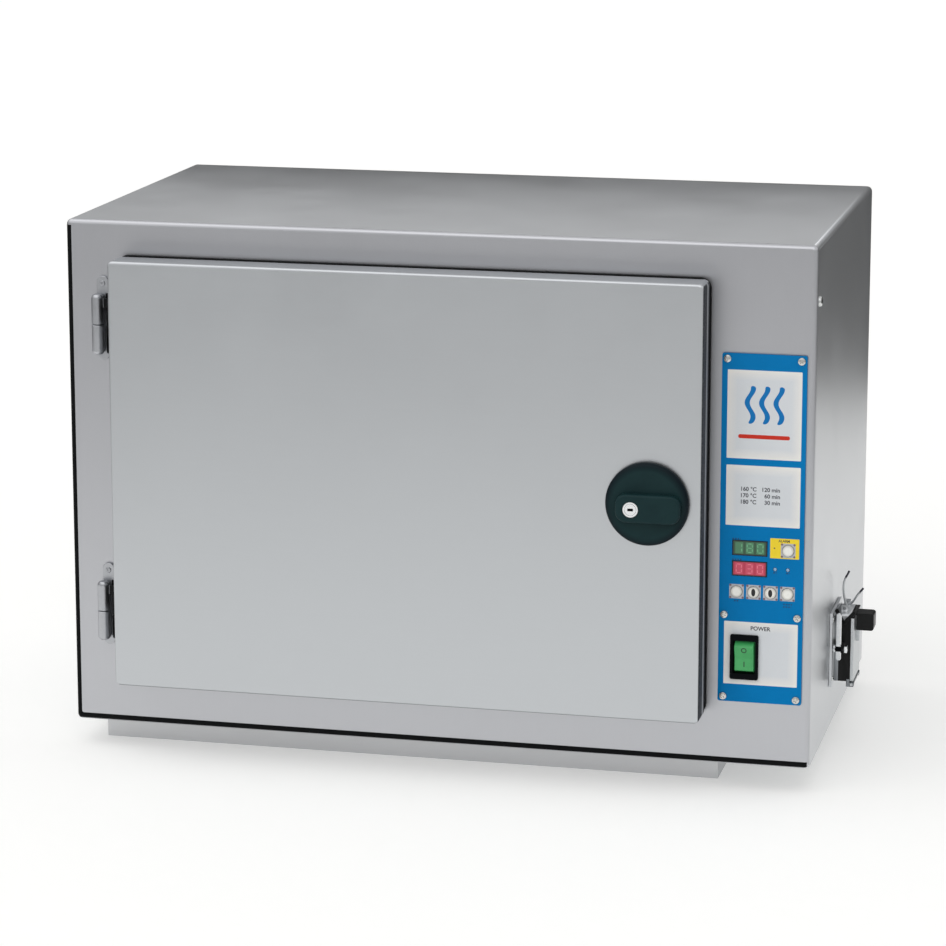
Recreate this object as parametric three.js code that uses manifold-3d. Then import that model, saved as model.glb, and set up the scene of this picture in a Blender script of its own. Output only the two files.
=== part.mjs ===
// Dry heat sterilizer: a bench oven with a side-hung door, a control panel and a low plinth.
// Millimetres, +Z up. The origin is under the middle of the whole object, on the plinth's underside.
import * as THREE from "three";
import { mergeVertices } from "three/addons/utils/BufferGeometryUtils.js";
import Module from "manifold-3d";

const wasm = await Module();
wasm.setup();

// Casing
const cabinetWidth = 568;
const cabinetDepth = 312;
const cabinetHeight = 390;
const sheet = 1.2;
const foldRadius = 3;
const cabinetCorner = 4;
const seam = 0.3;
const overrun = 2;
const fasciaReturn = 5;
const fasciaLap = 14;
const casingFlange = 12;
const plinthHeight = 20;
const plinthSetback = 25;
const plinthLeftInset = 16;
const plinthRightInset = 71;
const plinthSheet = 1.5;
const sideScrewFromTop = 42;
const sideScrewRadius = 2;
const sideScrewHeadRadius = 3.8;
const sideScrewHeadHeight = 1.8;
const rearSlotCount = 6;
const rearSlotLength = 46;
const rearSlotWidth = 4;
const rearSlotPitch = 11;
const rearSlotsFromTop = 81;

// Chamber
const chamberLeftInset = 82;
const chamberRightInset = 136;
const chamberBottom = 76;
const chamberTopInset = 64;
const chamberRearInset = 72;
const linerSheet = 1;
const linerCorner = 10;
const linerFlange = 9;
const insulationThickness = 30;
const rearInsulationThickness = 48;
const rightInsulationThickness = 44;
const heaterSpace = 12;
const heaterRadius = 3.2;
const heaterRuns = 4;
const heaterRunPitch = 52;
const heaterSideMargin = 30;
const heaterTerminal = 14;
const probeRadius = 2;
const probeReach = 34;
const probeFromTop = 22;
const probeDepth = 168;
const probeGlandRadius = 5;
const probeGlandLength = 9;
const ventRadius = 8;
const ventWall = 1;
const ventFromTop = 40;
const ventProud = 4;
const ventRimRadius = 13;

// Shelves
const shelfCount = 2;
const shelfFirst = 62;
const shelfPitch = 84;
const railThickness = 1.2;
const railFoot = 8;
const railTopGap = 16;
const railRearGap = 14;
const railLedge = 9;
const railWindow = 30;
const railFrontGap = 12;
const trayHeight = 14;
const traySheet = 1;
const trayRim = 7;
const traySideGap = 1.2;
const trayRearGap = 8;
const trayCorner = 6;
const traySlotColumns = 7;
const traySlotRows = 3;
const traySlotLength = 38;
const traySlotWidth = 5;

// Door
const doorLeftInset = 42;
const doorRightInset = 77;
const doorBottom = 38;
const doorTopInset = 26;
const doorFront = 30;
const doorStandoff = 5.5;
const doorCorner = 4;
const doorFold = 2;
const doorInnerInset = 1;
const doorPlugInset = 5;
const doorPlugDepth = 13;
const doorPlugCorner = 8;
const doorPadGap = 1;
const gasketWidth = 6;
const gasketInset = 1.2;

// Hinges
const hingeAxisInset = 26.5;
const hingeKnuckleRadius = 4.75;
const hingeKnuckleLength = 23;
const hingeTip = 3;
const hingeTipRadius = 3.2;
const hingeSplit = 0.6;
const hingePinRadius = 2.2;
const hingeLeafThickness = 2;
const hingeLeafWidth = 9;
const hingeLeafShift = 2;
const hingeLeafTop = 13;
const hingeLeafBottom = 5;
const hingeWebThickness = 3;
const hingeDoorFlange = 18;
const hingeStripHeight = 7;
const hingeSlotWidth = 3;
const hingeFromDoorEnd = 52;

// Latch and handle
const handleFromDoorEdge = 39.5;
const handleAboveDoorMiddle = 1;
const knobRadius = 31.5;
const knobThickness = 4;
const knobRimWidth = 2.5;
const knobDishDepth = 0.8;
const gripLength = 48;
const gripWidth = 21;
const gripHeight = 6.5;
const gripCorner = 8;
const gripShiftX = 2;
const gripShiftZ = -2;
const rosetteRadius = 28;
const rosetteThickness = 2;
const collarRadius = 7;
const collarDepth = 5;
const spindleRadius = 4;
const lockRadius = 6;
const lockShiftX = -10.5;
const lockShiftZ = -2.6;
const lockLength = 9;
const keywayLength = 6;
const keywayWidth = 1.2;
const keywayDepth = 3;
const keeperThickness = 2;
const keeperMargin = 9;
const camThickness = 3;
const camWidth = 11;
const camReach = 20;
const camBehindKeeper = 1;
const camSlotSide = 2.5;
const camSlotEnd = 3;

// Control panel
const panelRightInset = 6;
const panelWidth = 62;
const panelBottom = 49;
const panelHeight = 261;
const panelThickness = 1.5;
const panelCorner = 1.5;
const panelScrewInset = 4;
const panelMiddleScrewRise = 66;
const panelScrewRadius = 1.5;
const panelScrewHeadRadius = 3;
const panelScrewHeadHeight = 1.4;
const panelScrewLength = 7;
const windowMargin = 5.8;
const windowSideMargin = 6.1;
const displayFromLeft = 22.3;
const displayWidth = 25.5;
const displayHeight = 11;
const displayRise = 101.3;
const displayPitch = 15.5;
const displayProud = 0.4;
const buttonRadius = 4.2;
const buttonProud = 1.2;
const buttonTravel = 0.8;
const buttonCollarRadius = 5;
const buttonCollarThickness = 1;
const buttonLength = 7.5;
const buttonLeftInset = 13;
const buttonRightInset = 11.5;
const buttonRowRise = 83.8;
const buttonRowGaps = 3;
const alarmButtonRise = 116.3;
const lampRadius = 1.3;
const lampRise = 101.8;
const lampPitch = 9.4;
const boardThickness = 1.6;
const boardMargin = 4;
const boardLap = 1;
const postRadius = 1.6;
const postInset = 2.4;
const switchRadius = 3;
const chipWidth = 22;
const chipHeight = 12;
const chipDepth = 7;
const rockerFromLeft = 19.5;
const rockerRise = 34.5;
const bezelWidth = 21;
const bezelHeight = 34;
const bezelFlange = 2;
const bezelCorner = 1.5;
const bezelBodyDepth = 22;
const bezelWall = 1.1;
const rockerRadius = 12.2;
const rockerTiltDegrees = 9;
const rockerPivotDepth = 5.5;
const rockerPinRadius = 1;
const rockerPinLength = 0.9;
const lugLength = 7;
const lugWidth = 5;
const lugThickness = 0.8;

// Electrical compartment
const dividerGap = 4;
const transformerWidth = 48;
const transformerDepth = 52;
const transformerHeight = 44;
const coilMargin = 7;
const transformerFromRear = 46;
const relayWidth = 24;
const relayDepth = 45;
const relayHeight = 58;
const relayY = 142;
const relayZ = 150;
const finCount = 5;
const finDepth = 9;
const finThickness = 2;
const terminalWidth = 46;
const terminalDepth = 16;
const terminalHeight = 18;
const terminalY = 60;
const terminalSlots = 4;
const terminalSlotWidth = 6;
const thermostatWidth = 22;
const thermostatSide = 34;
const thermostatY = 116;
const thermostatFromTop = 128;
const bulbRadius = 2.5;
const bulbReach = 34;

// Mains inlet on the right side
const inletNear = 112;
const inletDepth = 38;
const inletBottom = 37;
const inletHeight = 51;
const inletProud = 15;
const inletWall = 2.4;
const inletFlangeThickness = 2;
const inletFlangeMargin = 7;
const inletRear = 18;
const lidThickness = 2.5;
const lidLugReach = 13.5;
const lidLugHeight = 18;
const lidLugDepth = 15;
const lidLugCorner = 3;
const lidAxleRadius = 1.2;
const lidEar = 5;
const lidEarHalf = 1.6;
const lidEarDrop = 2.7;
const contactRadius = 2;
const contactLength = 9;
const contactPitch = 12;
const contactBase = 4;
const leverWidth = 4;
const leverThickness = 2.6;
const leverFromPanel = 5.6;
const leverBelow = 9;
const leverAbove = 28;
const leverPivotZ = 65;
const leverPinRadius = 1.5;
const leverKnobRadius = 3.1;
const leverKnobLength = 2.2;
const leverNut = 5;
const lugPlate = 1.7;
const bailWireRadius = 0.9;
const bailPivotOut = 9;
const bailPivotUp = 4;
const bailPivotSpan = 20;
const bailEar = 2.4;
const bailLength = 27;
const bailRouteShares = {
  inner: [[0, 0], [-0.07, 0.33], [-0.07, 0.67], [0.07, 1]],
  outer: [[0, 0], [0.15, 0.07], [0.33, 0.33], [0.48, 0.52]],
};

// Angles and facets
const quarterTurn = Math.PI / 2;
const halfTurn = Math.PI;
const cornerSegments = 3;
const roundSegments = 20;
const smallSegments = 12;
const wireSegments = 6;
const heaterSegments = 56;
const mergeTolerance = 1e-4;

// Places worked out from the sizes above, in the cabinet's frame:
// x from its middle, y back from its front face, z up from its underside
const halfWidth = cabinetWidth / 2;
const chamberLeft = chamberLeftInset - halfWidth;
const chamberRight = halfWidth - chamberRightInset;
const chamberTop = cabinetHeight - chamberTopInset;
const chamberDepth = cabinetDepth - chamberRearInset;
const railBottom = chamberBottom + linerCorner;
const railTop = chamberTop - linerCorner - railTopGap;
const railRear = chamberDepth - railRearGap;
const doorLeft = doorLeftInset - halfWidth;
const doorRight = halfWidth - doorRightInset;
const doorTop = cabinetHeight - doorTopInset;
const doorPanBack = -doorStandoff - sheet - seam;
const handleX = doorRight - handleFromDoorEdge;
const handleZ = (doorBottom + doorTop) / 2 + handleAboveDoorMiddle;
const gripBack = -doorFront - seam - rosetteThickness - seam;
const gripFace = gripBack - knobThickness - gripHeight;
const hingeX = hingeAxisInset - halfWidth;
const hingeY = -seam - hingeLeafThickness - seam - hingeKnuckleRadius;
const hingeMiddles = {
  upper: doorTop - hingeFromDoorEnd,
  lower: doorBottom + hingeFromDoorEnd,
};
const lipBack = fasciaReturn + fasciaLap;
const sideScrewPlace = [fasciaReturn + fasciaLap / 2, cabinetHeight - sideScrewFromTop];
const panelRight = halfWidth - panelRightInset;
const panelLeft = panelRight - panelWidth;
const panelFace = -seam - panelThickness;
const panelTop = panelBottom + panelHeight;
const panelScrewHeights = [
  panelBottom + panelScrewInset,
  panelBottom + panelMiddleScrewRise,
  panelTop - panelScrewInset,
];
const displayMiddles = {
  green: panelBottom + displayRise + displayPitch,
  red: panelBottom + displayRise,
};
const buttonRow = panelBottom + buttonRowRise;
const buttonFirst = panelLeft + buttonLeftInset;
const buttonLast = panelRight - buttonRightInset;
const buttonPitch = (buttonLast - buttonFirst) / buttonRowGaps;
const buttonPlaces = {
  alarm_button: [buttonLast, panelBottom + alarmButtonRise],
  program_button: [buttonFirst, buttonRow],
  down_button: [buttonFirst + buttonPitch, buttonRow],
  up_button: [buttonLast - buttonPitch, buttonRow],
  start_button: [buttonLast, buttonRow],
};
const lampZ = panelBottom + lampRise;
const lampPlaces = [[buttonLast - lampPitch, lampZ], [buttonLast, lampZ]];
const rockerX = panelLeft + rockerFromLeft;
const rockerMiddle = panelBottom + rockerRise;
const keyWindow = [
  buttonRow - buttonCollarRadius - windowMargin,
  displayMiddles.green + displayHeight / 2 + windowMargin,
];
const switchReach = bezelHeight / 2 - bezelFlange + windowMargin;
const switchWindow = [rockerMiddle - switchReach, rockerMiddle + switchReach];
const boardFront = sheet + buttonLength;
const dividerX = chamberRight + linerSheet + rightInsulationThickness + dividerGap;
const transformerY = cabinetDepth - transformerFromRear - transformerDepth;
const thermostatZ = cabinetHeight - thermostatFromTop;
const keeperFront = sheet + seam;
const camFront = keeperFront + keeperThickness + camBehindKeeper;
const insulationFront = lipBack + seam;
const inletMiddleY = inletNear + inletDepth / 2;
const inletTop = inletBottom + inletHeight;
const inletFace = halfWidth + inletProud;
const lidFace = inletFace + seam + lidThickness;
const inletReach = inletProud + seam + lidThickness + lidLugReach;
const heaterLevels = {
  heater_lower: chamberBottom - linerSheet - heaterSpace / 2,
  heater_upper: chamberTop + linerSheet + heaterSpace / 2,
};
const heaterFirstY = (chamberDepth - (heaterRuns - 1) * heaterRunPitch) / 2;
const heaterEndX = dividerX + sheet + heaterTerminal;
const probeZ = chamberTop - probeFromTop;
const ventZ = chamberTop - ventFromTop;
const ventX = (chamberLeft + chamberRight) / 2;

// Colours, roughness and metalness read from the photograph
const finishes = {
  casing: { color: 0xa9adb0, roughness: 0.38, metalness: 0.9 },
  liner: { color: 0xb9bcbf, roughness: 0.3, metalness: 0.95 },
  galvanised: { color: 0x8f9496, roughness: 0.5, metalness: 0.8 },
  chrome: { color: 0xc9cbcc, roughness: 0.18, metalness: 1 },
  blackPlastic: { color: 0x15201f, roughness: 0.45, metalness: 0 },
  bluePlate: { color: 0x0a76ba, roughness: 0.4, metalness: 0.1 },
  whiteKey: { color: 0xf2f2ee, roughness: 0.5, metalness: 0 },
  greenGlass: { color: 0x1f6a35, roughness: 0.15, metalness: 0 },
  redGlass: { color: 0xc42440, roughness: 0.15, metalness: 0 },
  rubber: { color: 0xa63a2a, roughness: 0.8, metalness: 0 },
  wool: { color: 0xd8cfa6, roughness: 0.95, metalness: 0 },
  board: { color: 0x1d5c3a, roughness: 0.6, metalness: 0.1 },
  brass: { color: 0xc2a24c, roughness: 0.35, metalness: 0.9 },
  steelCore: { color: 0x55585a, roughness: 0.6, metalness: 0.6 },
  greyPlastic: { color: 0xb9bcb8, roughness: 0.6, metalness: 0 },
};

// Turn a closed geometry into a solid that can be joined and cut
function solid(geometry) {
  const bare = geometry.clone();
  bare.deleteAttribute("normal");
  bare.deleteAttribute("uv");
  const merged = mergeVertices(bare, mergeTolerance);
  const mesh = new wasm.Mesh({
    numProp: 3,
    vertProperties: new Float32Array(merged.attributes.position.array),
    triVerts: new Uint32Array(merged.index.array),
  });
  return new wasm.Manifold(mesh);
}

// Turn a solid back into a geometry
function shaped(body) {
  const mesh = body.getMesh();
  const geometry = new THREE.BufferGeometry();
  geometry.setAttribute("position", new THREE.BufferAttribute(mesh.vertProperties, mesh.numProp));
  geometry.setIndex(new THREE.BufferAttribute(mesh.triVerts, 1));
  geometry.computeVertexNormals();
  return geometry;
}

// A named mesh with its own material
function piece(name, geometry, finish) {
  const mesh = new THREE.Mesh(geometry, new THREE.MeshStandardMaterial(finishes[finish]));
  mesh.name = name;
  return mesh;
}

// A straight block between two values on each axis
function block(xs, ys, zs) {
  const geometry = new THREE.BoxGeometry(xs[1] - xs[0], ys[1] - ys[0], zs[1] - zs[0]);
  geometry.translate((xs[0] + xs[1]) / 2, (ys[0] + ys[1]) / 2, (zs[0] + zs[1]) / 2);
  return solid(geometry);
}

// A cylinder along x, y or z between two values on that axis
function rod(axis, radius, ends, place, segments = roundSegments) {
  const geometry = new THREE.CylinderGeometry(radius, radius, ends[1] - ends[0], segments);
  const middle = (ends[0] + ends[1]) / 2;
  if (axis === "x") {
    geometry.rotateZ(quarterTurn);
    geometry.translate(middle, place[0], place[1]);
  } else if (axis === "y") {
    geometry.translate(place[0], middle, place[1]);
  } else {
    geometry.rotateX(quarterTurn);
    geometry.translate(place[0], place[1], middle);
  }
  return solid(geometry);
}

// A rectangle with rounded corners
function roundedRectangle(xs, zs, radius) {
  const shape = new THREE.Shape();
  shape.moveTo(xs[0] + radius, zs[0]);
  shape.lineTo(xs[1] - radius, zs[0]);
  shape.absarc(xs[1] - radius, zs[0] + radius, radius, -quarterTurn, 0);
  shape.lineTo(xs[1], zs[1] - radius);
  shape.absarc(xs[1] - radius, zs[1] - radius, radius, 0, quarterTurn);
  shape.lineTo(xs[0] + radius, zs[1]);
  shape.absarc(xs[0] + radius, zs[1] - radius, radius, quarterTurn, halfTurn);
  shape.lineTo(xs[0], zs[0] + radius);
  shape.absarc(xs[0] + radius, zs[0] + radius, radius, halfTurn, halfTurn + quarterTurn);
  return shape;
}

// An upright slab across the front, its outline drawn in x and z, between two depths
function slab(xs, zs, ys, radius) {
  const shape = roundedRectangle(xs, zs, radius);
  const options = { depth: ys[1] - ys[0], bevelEnabled: false, curveSegments: cornerSegments };
  const geometry = new THREE.ExtrudeGeometry(shape, options);
  geometry.rotateX(quarterTurn);
  geometry.translate(0, ys[1], 0);
  return solid(geometry);
}

// The same slab with its front and back edges rounded
function softSlab(xs, zs, ys, radius, edge) {
  const shape = roundedRectangle(xs, zs, radius);
  const geometry = new THREE.ExtrudeGeometry(shape, {
    depth: ys[1] - ys[0] - edge - edge,
    bevelEnabled: true,
    bevelThickness: edge,
    bevelSize: edge,
    bevelOffset: -edge,
    bevelSegments: cornerSegments,
    curveSegments: cornerSegments,
  });
  geometry.rotateX(quarterTurn);
  geometry.translate(0, ys[1] - edge, 0);
  return solid(geometry);
}

// A folded pan: a sheet across the front with walls running back to an open side
function pan(xs, zs, ys, wall, radius, edge) {
  const outer = softSlab(xs, zs, [ys[0], ys[1] + overrun + edge], radius, edge);
  const innerXs = [xs[0] + wall, xs[1] - wall];
  const innerZs = [zs[0] + wall, zs[1] - wall];
  const innerYs = [ys[0] + wall, ys[1] + overrun + overrun + edge];
  const inner = softSlab(innerXs, innerZs, innerYs, radius - wall, edge - wall);
  const beyondXs = [xs[0] - overrun, xs[1] + overrun];
  const beyondZs = [zs[0] - overrun, zs[1] + overrun];
  const beyond = block(beyondXs, [ys[1], ys[1] + overrun + overrun + edge], beyondZs);
  return outer.subtract(inner).subtract(beyond);
}

// A tube of round section along a curve
function tubeAlong(curve, radius, steps) {
  const section = new THREE.Shape();
  section.absarc(0, 0, radius, 0, halfTurn + halfTurn);
  const options = { steps, extrudePath: curve, curveSegments: wireSegments / 2 };
  return solid(new THREE.ExtrudeGeometry(section, options));
}

// The cabinet's front: a folded pan with openings for the chamber, the controls and the latch,
// a relief slot beside each hinge and a set-in lip that the outer casing slides over
function frontFascia() {
  let body = pan(
    [-halfWidth, halfWidth],
    [0, cabinetHeight],
    [0, fasciaReturn],
    sheet,
    cabinetCorner,
    foldRadius,
  );
  const near = sheet / 2;
  const step = sheet + seam;
  const inside = step + sheet;
  const inPan = slab(
    [near - halfWidth, halfWidth - near],
    [near, cabinetHeight - near],
    [fasciaReturn - sheet - sheet, fasciaReturn],
    cabinetCorner - near,
  );
  const behind = slab(
    [step - halfWidth, halfWidth - step],
    [step, cabinetHeight - step],
    [fasciaReturn - sheet, lipBack],
    cabinetCorner - step,
  );
  const hollow = block(
    [inside - halfWidth, halfWidth - inside],
    [0, lipBack + overrun],
    [inside, cabinetHeight - inside],
  );
  body = body.add(inPan.add(behind).subtract(hollow));
  const chamberGap = linerSheet + seam;
  body = body.subtract(slab(
    [chamberLeft - chamberGap, chamberRight + chamberGap],
    [chamberBottom - chamberGap, chamberTop + chamberGap],
    [-overrun, sheet + overrun],
    linerCorner + chamberGap,
  ));
  for (const zs of [keyWindow, switchWindow]) {
    const xs = [panelLeft + windowSideMargin, panelRight - windowSideMargin];
    body = body.subtract(block(xs, [-overrun, sheet + overrun], zs));
  }
  body = body.subtract(latchSlot([-overrun, sheet + overrun]));
  for (const split of Object.values(hingeMiddles)) {
    body = body.subtract(hingeSlot(split, [-overrun, sheet + overrun]));
  }
  for (const [x, z] of panelScrewPlaces()) {
    body = body.subtract(
      rod("y", panelScrewRadius + seam, [-overrun, sheet + overrun], [x, z], smallSegments),
    );
  }
  const screwSpan = [halfWidth - inside - overrun, halfWidth + overrun];
  return body.subtract(
    rod("x", sideScrewRadius + seam, screwSpan, sideScrewPlace, smallSegments),
  );
}

// The upright slot that the latch's cam passes through
function latchSlot(ys) {
  const half = camWidth / 2 + camSlotSide;
  const xs = [handleX - half, handleX + half];
  const zs = [handleZ - half, handleZ + camReach + camSlotEnd];
  return slab(xs, zs, ys, camSlotSide);
}

function panelScrewPlaces() {
  const xs = [panelLeft + panelScrewInset, panelRight - panelScrewInset];
  return panelScrewHeights.flatMap((z) => xs.map((x) => [x, z]));
}

// The casing's top and sides, one sheet folded over the frame
function outerWrap() {
  const shape = new THREE.Shape();
  const inX = halfWidth - sheet;
  const inZ = cabinetHeight - sheet;
  const inRadius = cabinetCorner - sheet;
  shape.moveTo(-halfWidth, 0);
  shape.lineTo(-inX, 0);
  shape.lineTo(-inX, inZ - inRadius);
  shape.absarc(inRadius - inX, inZ - inRadius, inRadius, halfTurn, quarterTurn, true);
  shape.lineTo(inX - inRadius, inZ);
  shape.absarc(inX - inRadius, inZ - inRadius, inRadius, quarterTurn, 0, true);
  shape.lineTo(inX, 0);
  shape.lineTo(halfWidth, 0);
  shape.lineTo(halfWidth, cabinetHeight - cabinetCorner);
  shape.absarc(
    halfWidth - cabinetCorner,
    cabinetHeight - cabinetCorner,
    cabinetCorner,
    0,
    quarterTurn,
  );
  shape.lineTo(cabinetCorner - halfWidth, cabinetHeight);
  shape.absarc(
    cabinetCorner - halfWidth,
    cabinetHeight - cabinetCorner,
    cabinetCorner,
    quarterTurn,
    halfTurn,
  );
  const depth = cabinetDepth - fasciaReturn - seam;
  const options = { depth, bevelEnabled: false, curveSegments: cornerSegments };
  const geometry = new THREE.ExtrudeGeometry(shape, options);
  geometry.rotateX(quarterTurn);
  geometry.translate(0, cabinetDepth, 0);
  const screwSpan = [halfWidth - sheet - overrun, halfWidth + overrun];
  const screwHole = rod(
    "x",
    sideScrewRadius + seam,
    screwSpan,
    sideScrewPlace,
    smallSegments,
  );
  const inletHole = block(
    [halfWidth - sheet - overrun, halfWidth + overrun],
    [inletNear - seam, inletNear + inletDepth + seam],
    [inletBottom - seam, inletTop + seam],
  );
  return solid(geometry).subtract(screwHole).subtract(inletHole);
}

// The back: a sheet set in between the casing's walls, with a forward flange, air slots and a vent hole
function rearPanel() {
  const side = halfWidth - sheet - seam;
  const top = cabinetHeight - sheet - seam;
  const outer = slab(
    [-side, side],
    [0, top],
    [cabinetDepth - casingFlange, cabinetDepth],
    cabinetCorner - sheet - seam,
  );
  const inner = block(
    [sheet - side, side - sheet],
    [cabinetDepth - casingFlange - overrun, cabinetDepth - sheet],
    [sheet, top - sheet],
  );
  let body = outer.subtract(inner);
  const slotX = (dividerX + halfWidth) / 2;
  for (let i = 0; i < rearSlotCount; i += 1) {
    const z = cabinetHeight - rearSlotsFromTop - i * rearSlotPitch;
    const xs = [slotX - rearSlotLength / 2, slotX + rearSlotLength / 2];
    const ys = [cabinetDepth - sheet - overrun, cabinetDepth + overrun];
    body = body.subtract(block(xs, ys, [z - rearSlotWidth, z]));
  }
  const ventSpan = [cabinetDepth - sheet - overrun, cabinetDepth + overrun];
  return body.subtract(rod("y", ventRadius + seam, ventSpan, [ventX, ventZ]));
}

// The floor of the cabinet, with a flange up each side
function basePan() {
  const side = halfWidth - sheet - seam;
  const ys = [lipBack + seam, cabinetDepth - casingFlange - seam];
  const outer = block([-side, side], ys, [0, casingFlange]);
  const inner = block(
    [sheet - side, side - sheet],
    [ys[0] - overrun, ys[1] + overrun],
    [sheet, casingFlange + overrun],
  );
  return outer.subtract(inner);
}

// The box-shaped stand under the chamber, open at the top
function plinth() {
  const xs = [plinthLeftInset - halfWidth, halfWidth - plinthRightInset];
  const ys = [plinthSetback, cabinetDepth - plinthSetback];
  const outer = block(xs, ys, [-plinthHeight, -seam]);
  const inner = block(
    [xs[0] + plinthSheet, xs[1] - plinthSheet],
    [ys[0] + plinthSheet, ys[1] - plinthSheet],
    [plinthSheet - plinthHeight, overrun],
  );
  return outer.subtract(inner);
}

function sideScrew() {
  const headSpan = [halfWidth + seam, halfWidth + seam + sideScrewHeadHeight];
  const shankSpan = [
    halfWidth - sheet - seam - sheet - overrun,
    halfWidth + seam + sideScrewHeadHeight / 2,
  ];
  return rod("x", sideScrewHeadRadius, headSpan, sideScrewPlace, smallSegments)
    .add(rod("x", sideScrewRadius, shankSpan, sideScrewPlace, smallSegments));
}

// The stainless box that holds the instruments, with a flange round its mouth
function chamberLiner() {
  const front = -seam - linerSheet;
  const outer = slab(
    [chamberLeft - linerSheet, chamberRight + linerSheet],
    [chamberBottom - linerSheet, chamberTop + linerSheet],
    [front, chamberDepth + linerSheet],
    linerCorner + linerSheet,
  );
  const flange = slab(
    [chamberLeft - linerFlange, chamberRight + linerFlange],
    [chamberBottom - linerFlange, chamberTop + linerFlange],
    [front, front + linerSheet],
    linerCorner + linerFlange,
  );
  const inner = slab(
    [chamberLeft, chamberRight],
    [chamberBottom, chamberTop],
    [front - overrun, chamberDepth],
    linerCorner,
  );
  const ventSpan = [chamberDepth - overrun, chamberDepth + linerSheet + overrun];
  const probeSpan = [chamberRight - overrun, chamberRight + linerSheet + overrun];
  return outer.add(flange).subtract(inner)
    .subtract(rod("y", ventRadius + seam, ventSpan, [ventX, ventZ]))
    .subtract(rod("x", probeRadius + seam, probeSpan, [probeDepth, probeZ]));
}

// The wool blanket round the chamber, with room for the heaters above and below
function chamberInsulation() {
  const wall = linerSheet + seam;
  const outer = block(
    [chamberLeft - wall - insulationThickness, chamberRight + wall + rightInsulationThickness],
    [insulationFront, chamberDepth + wall + rearInsulationThickness],
    [
      chamberBottom - wall - heaterSpace - insulationThickness,
      chamberTop + wall + heaterSpace + insulationThickness,
    ],
  );
  const inner = block(
    [chamberLeft - wall, chamberRight + wall],
    [insulationFront - overrun, chamberDepth + wall],
    [chamberBottom - wall - heaterSpace, chamberTop + wall + heaterSpace],
  );
  let body = outer.subtract(inner);
  for (const cut of heaterCuts()) body = body.subtract(cut);
  const ventSpan = [chamberDepth, cabinetDepth];
  const probeSpan = [chamberRight, dividerX];
  return body
    .subtract(rod("y", ventRadius + seam, ventSpan, [ventX, ventZ]))
    .subtract(rod("x", probeRadius + seam, probeSpan, [probeDepth, probeZ]))
    .subtract(
      rod("x", bulbRadius + seam, [dividerX - bulbReach - overrun, dividerX], thermostatPlace()),
    );
}

// The holes that each heater's two ends pass through
function heaterCuts() {
  const span = [chamberRight, dividerX + sheet + overrun];
  const ends = [heaterFirstY, heaterFirstY + (heaterRuns - 1) * heaterRunPitch];
  return Object.values(heaterLevels)
    .flatMap((z) => ends.map((y) => rod("x", heaterRadius + seam, span, [y, z], smallSegments)));
}

// The wall between the chamber's insulation and the electrical compartment
function dividerWall() {
  const ys = [lipBack + seam, cabinetDepth - casingFlange - seam];
  let body = block([dividerX, dividerX + sheet], ys, [sheet + seam, cabinetHeight - sheet - seam]);
  const foot = block([dividerX, dividerX + casingFlange], ys, [sheet + seam, sheet + seam + sheet]);
  body = body.add(foot);
  for (const cut of heaterCuts()) body = body.subtract(cut);
  const through = [dividerX - overrun, dividerX + sheet + overrun];
  return body
    .subtract(rod("x", probeRadius + seam, through, [probeDepth, probeZ]))
    .subtract(rod("x", bulbRadius + seam, through, thermostatPlace()));
}

// A tubular heater: straight runs joined by half turns, both ends out to the right
function heater(level) {
  const path = new THREE.CurvePath();
  const left = chamberLeft + heaterSideMargin + heaterRunPitch / 2;
  const right = chamberRight - heaterSideMargin - heaterRunPitch / 2;
  const bend = heaterRunPitch / 2;
  for (let run = 0; run < heaterRuns; run += 1) {
    const y = heaterFirstY + run * heaterRunPitch;
    const goesLeft = run % 2 === 0;
    const outer = run === 0 || run === heaterRuns - 1 ? heaterEndX : right;
    const start = new THREE.Vector3(goesLeft ? outer : left, y, level);
    const end = new THREE.Vector3(goesLeft ? left : outer, y, level);
    path.add(new THREE.LineCurve3(start, end));
    if (run < heaterRuns - 1) path.add(new HalfTurn(end, bend, goesLeft ? -1 : 1));
  }
  return tubeAlong(path, heaterRadius, heaterSegments);
}

// A half turn in the level plane, bulging to the left or right
class HalfTurn extends THREE.Curve {
  constructor(start, bend, side) {
    super();
    this.start = start;
    this.bend = bend;
    this.side = side;
  }

  getPoint(t, target = new THREE.Vector3()) {
    const angle = t * halfTurn;
    const x = this.start.x + this.side * this.bend * Math.sin(angle);
    const y = this.start.y + this.bend * (1 - Math.cos(angle));
    return target.set(x, y, this.start.z);
  }
}

// The temperature probe, screwed to the divider and reaching into the chamber
function temperatureProbe() {
  const place = [probeDepth, probeZ];
  const face = dividerX + sheet + seam;
  const stem = rod(
    "x",
    probeRadius,
    [chamberRight - probeReach, face + probeGlandLength],
    place,
    smallSegments,
  );
  const gland = rod("x", probeGlandRadius, [face, face + probeGlandLength], place, wireSegments);
  return stem.add(gland);
}

function thermostatPlace() {
  return [thermostatY, thermostatZ];
}

// The over-temperature cut-out with its sensing bulb in the insulation
function safetyThermostat() {
  const face = dividerX + sheet + seam;
  const half = thermostatSide / 2;
  const body = block(
    [face, face + thermostatWidth],
    [thermostatY - half, thermostatY + half],
    [thermostatZ - half, thermostatZ + half],
  );
  const bulb = rod(
    "x",
    bulbRadius,
    [dividerX - bulbReach, face + bulbReach / 2],
    thermostatPlace(),
    smallSegments,
  );
  const stud = rod(
    "x",
    half / 2,
    [face + thermostatWidth / 2, face + thermostatWidth + ventProud],
    thermostatPlace(),
  );
  return body.add(bulb).add(stud);
}

// The chamber's vent: a tube out through the back with a rim outside
function ventTube() {
  const back = cabinetDepth + seam;
  const tube = rod("y", ventRadius, [chamberDepth, cabinetDepth + ventProud], [ventX, ventZ]);
  const rim = rod("y", ventRimRadius, [back, back + sheet], [ventX, ventZ]);
  const bore = rod(
    "y",
    ventRadius - ventWall,
    [chamberDepth - overrun, cabinetDepth + ventProud + overrun],
    [ventX, ventZ],
  );
  return tube.add(rim).subtract(bore);
}

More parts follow.
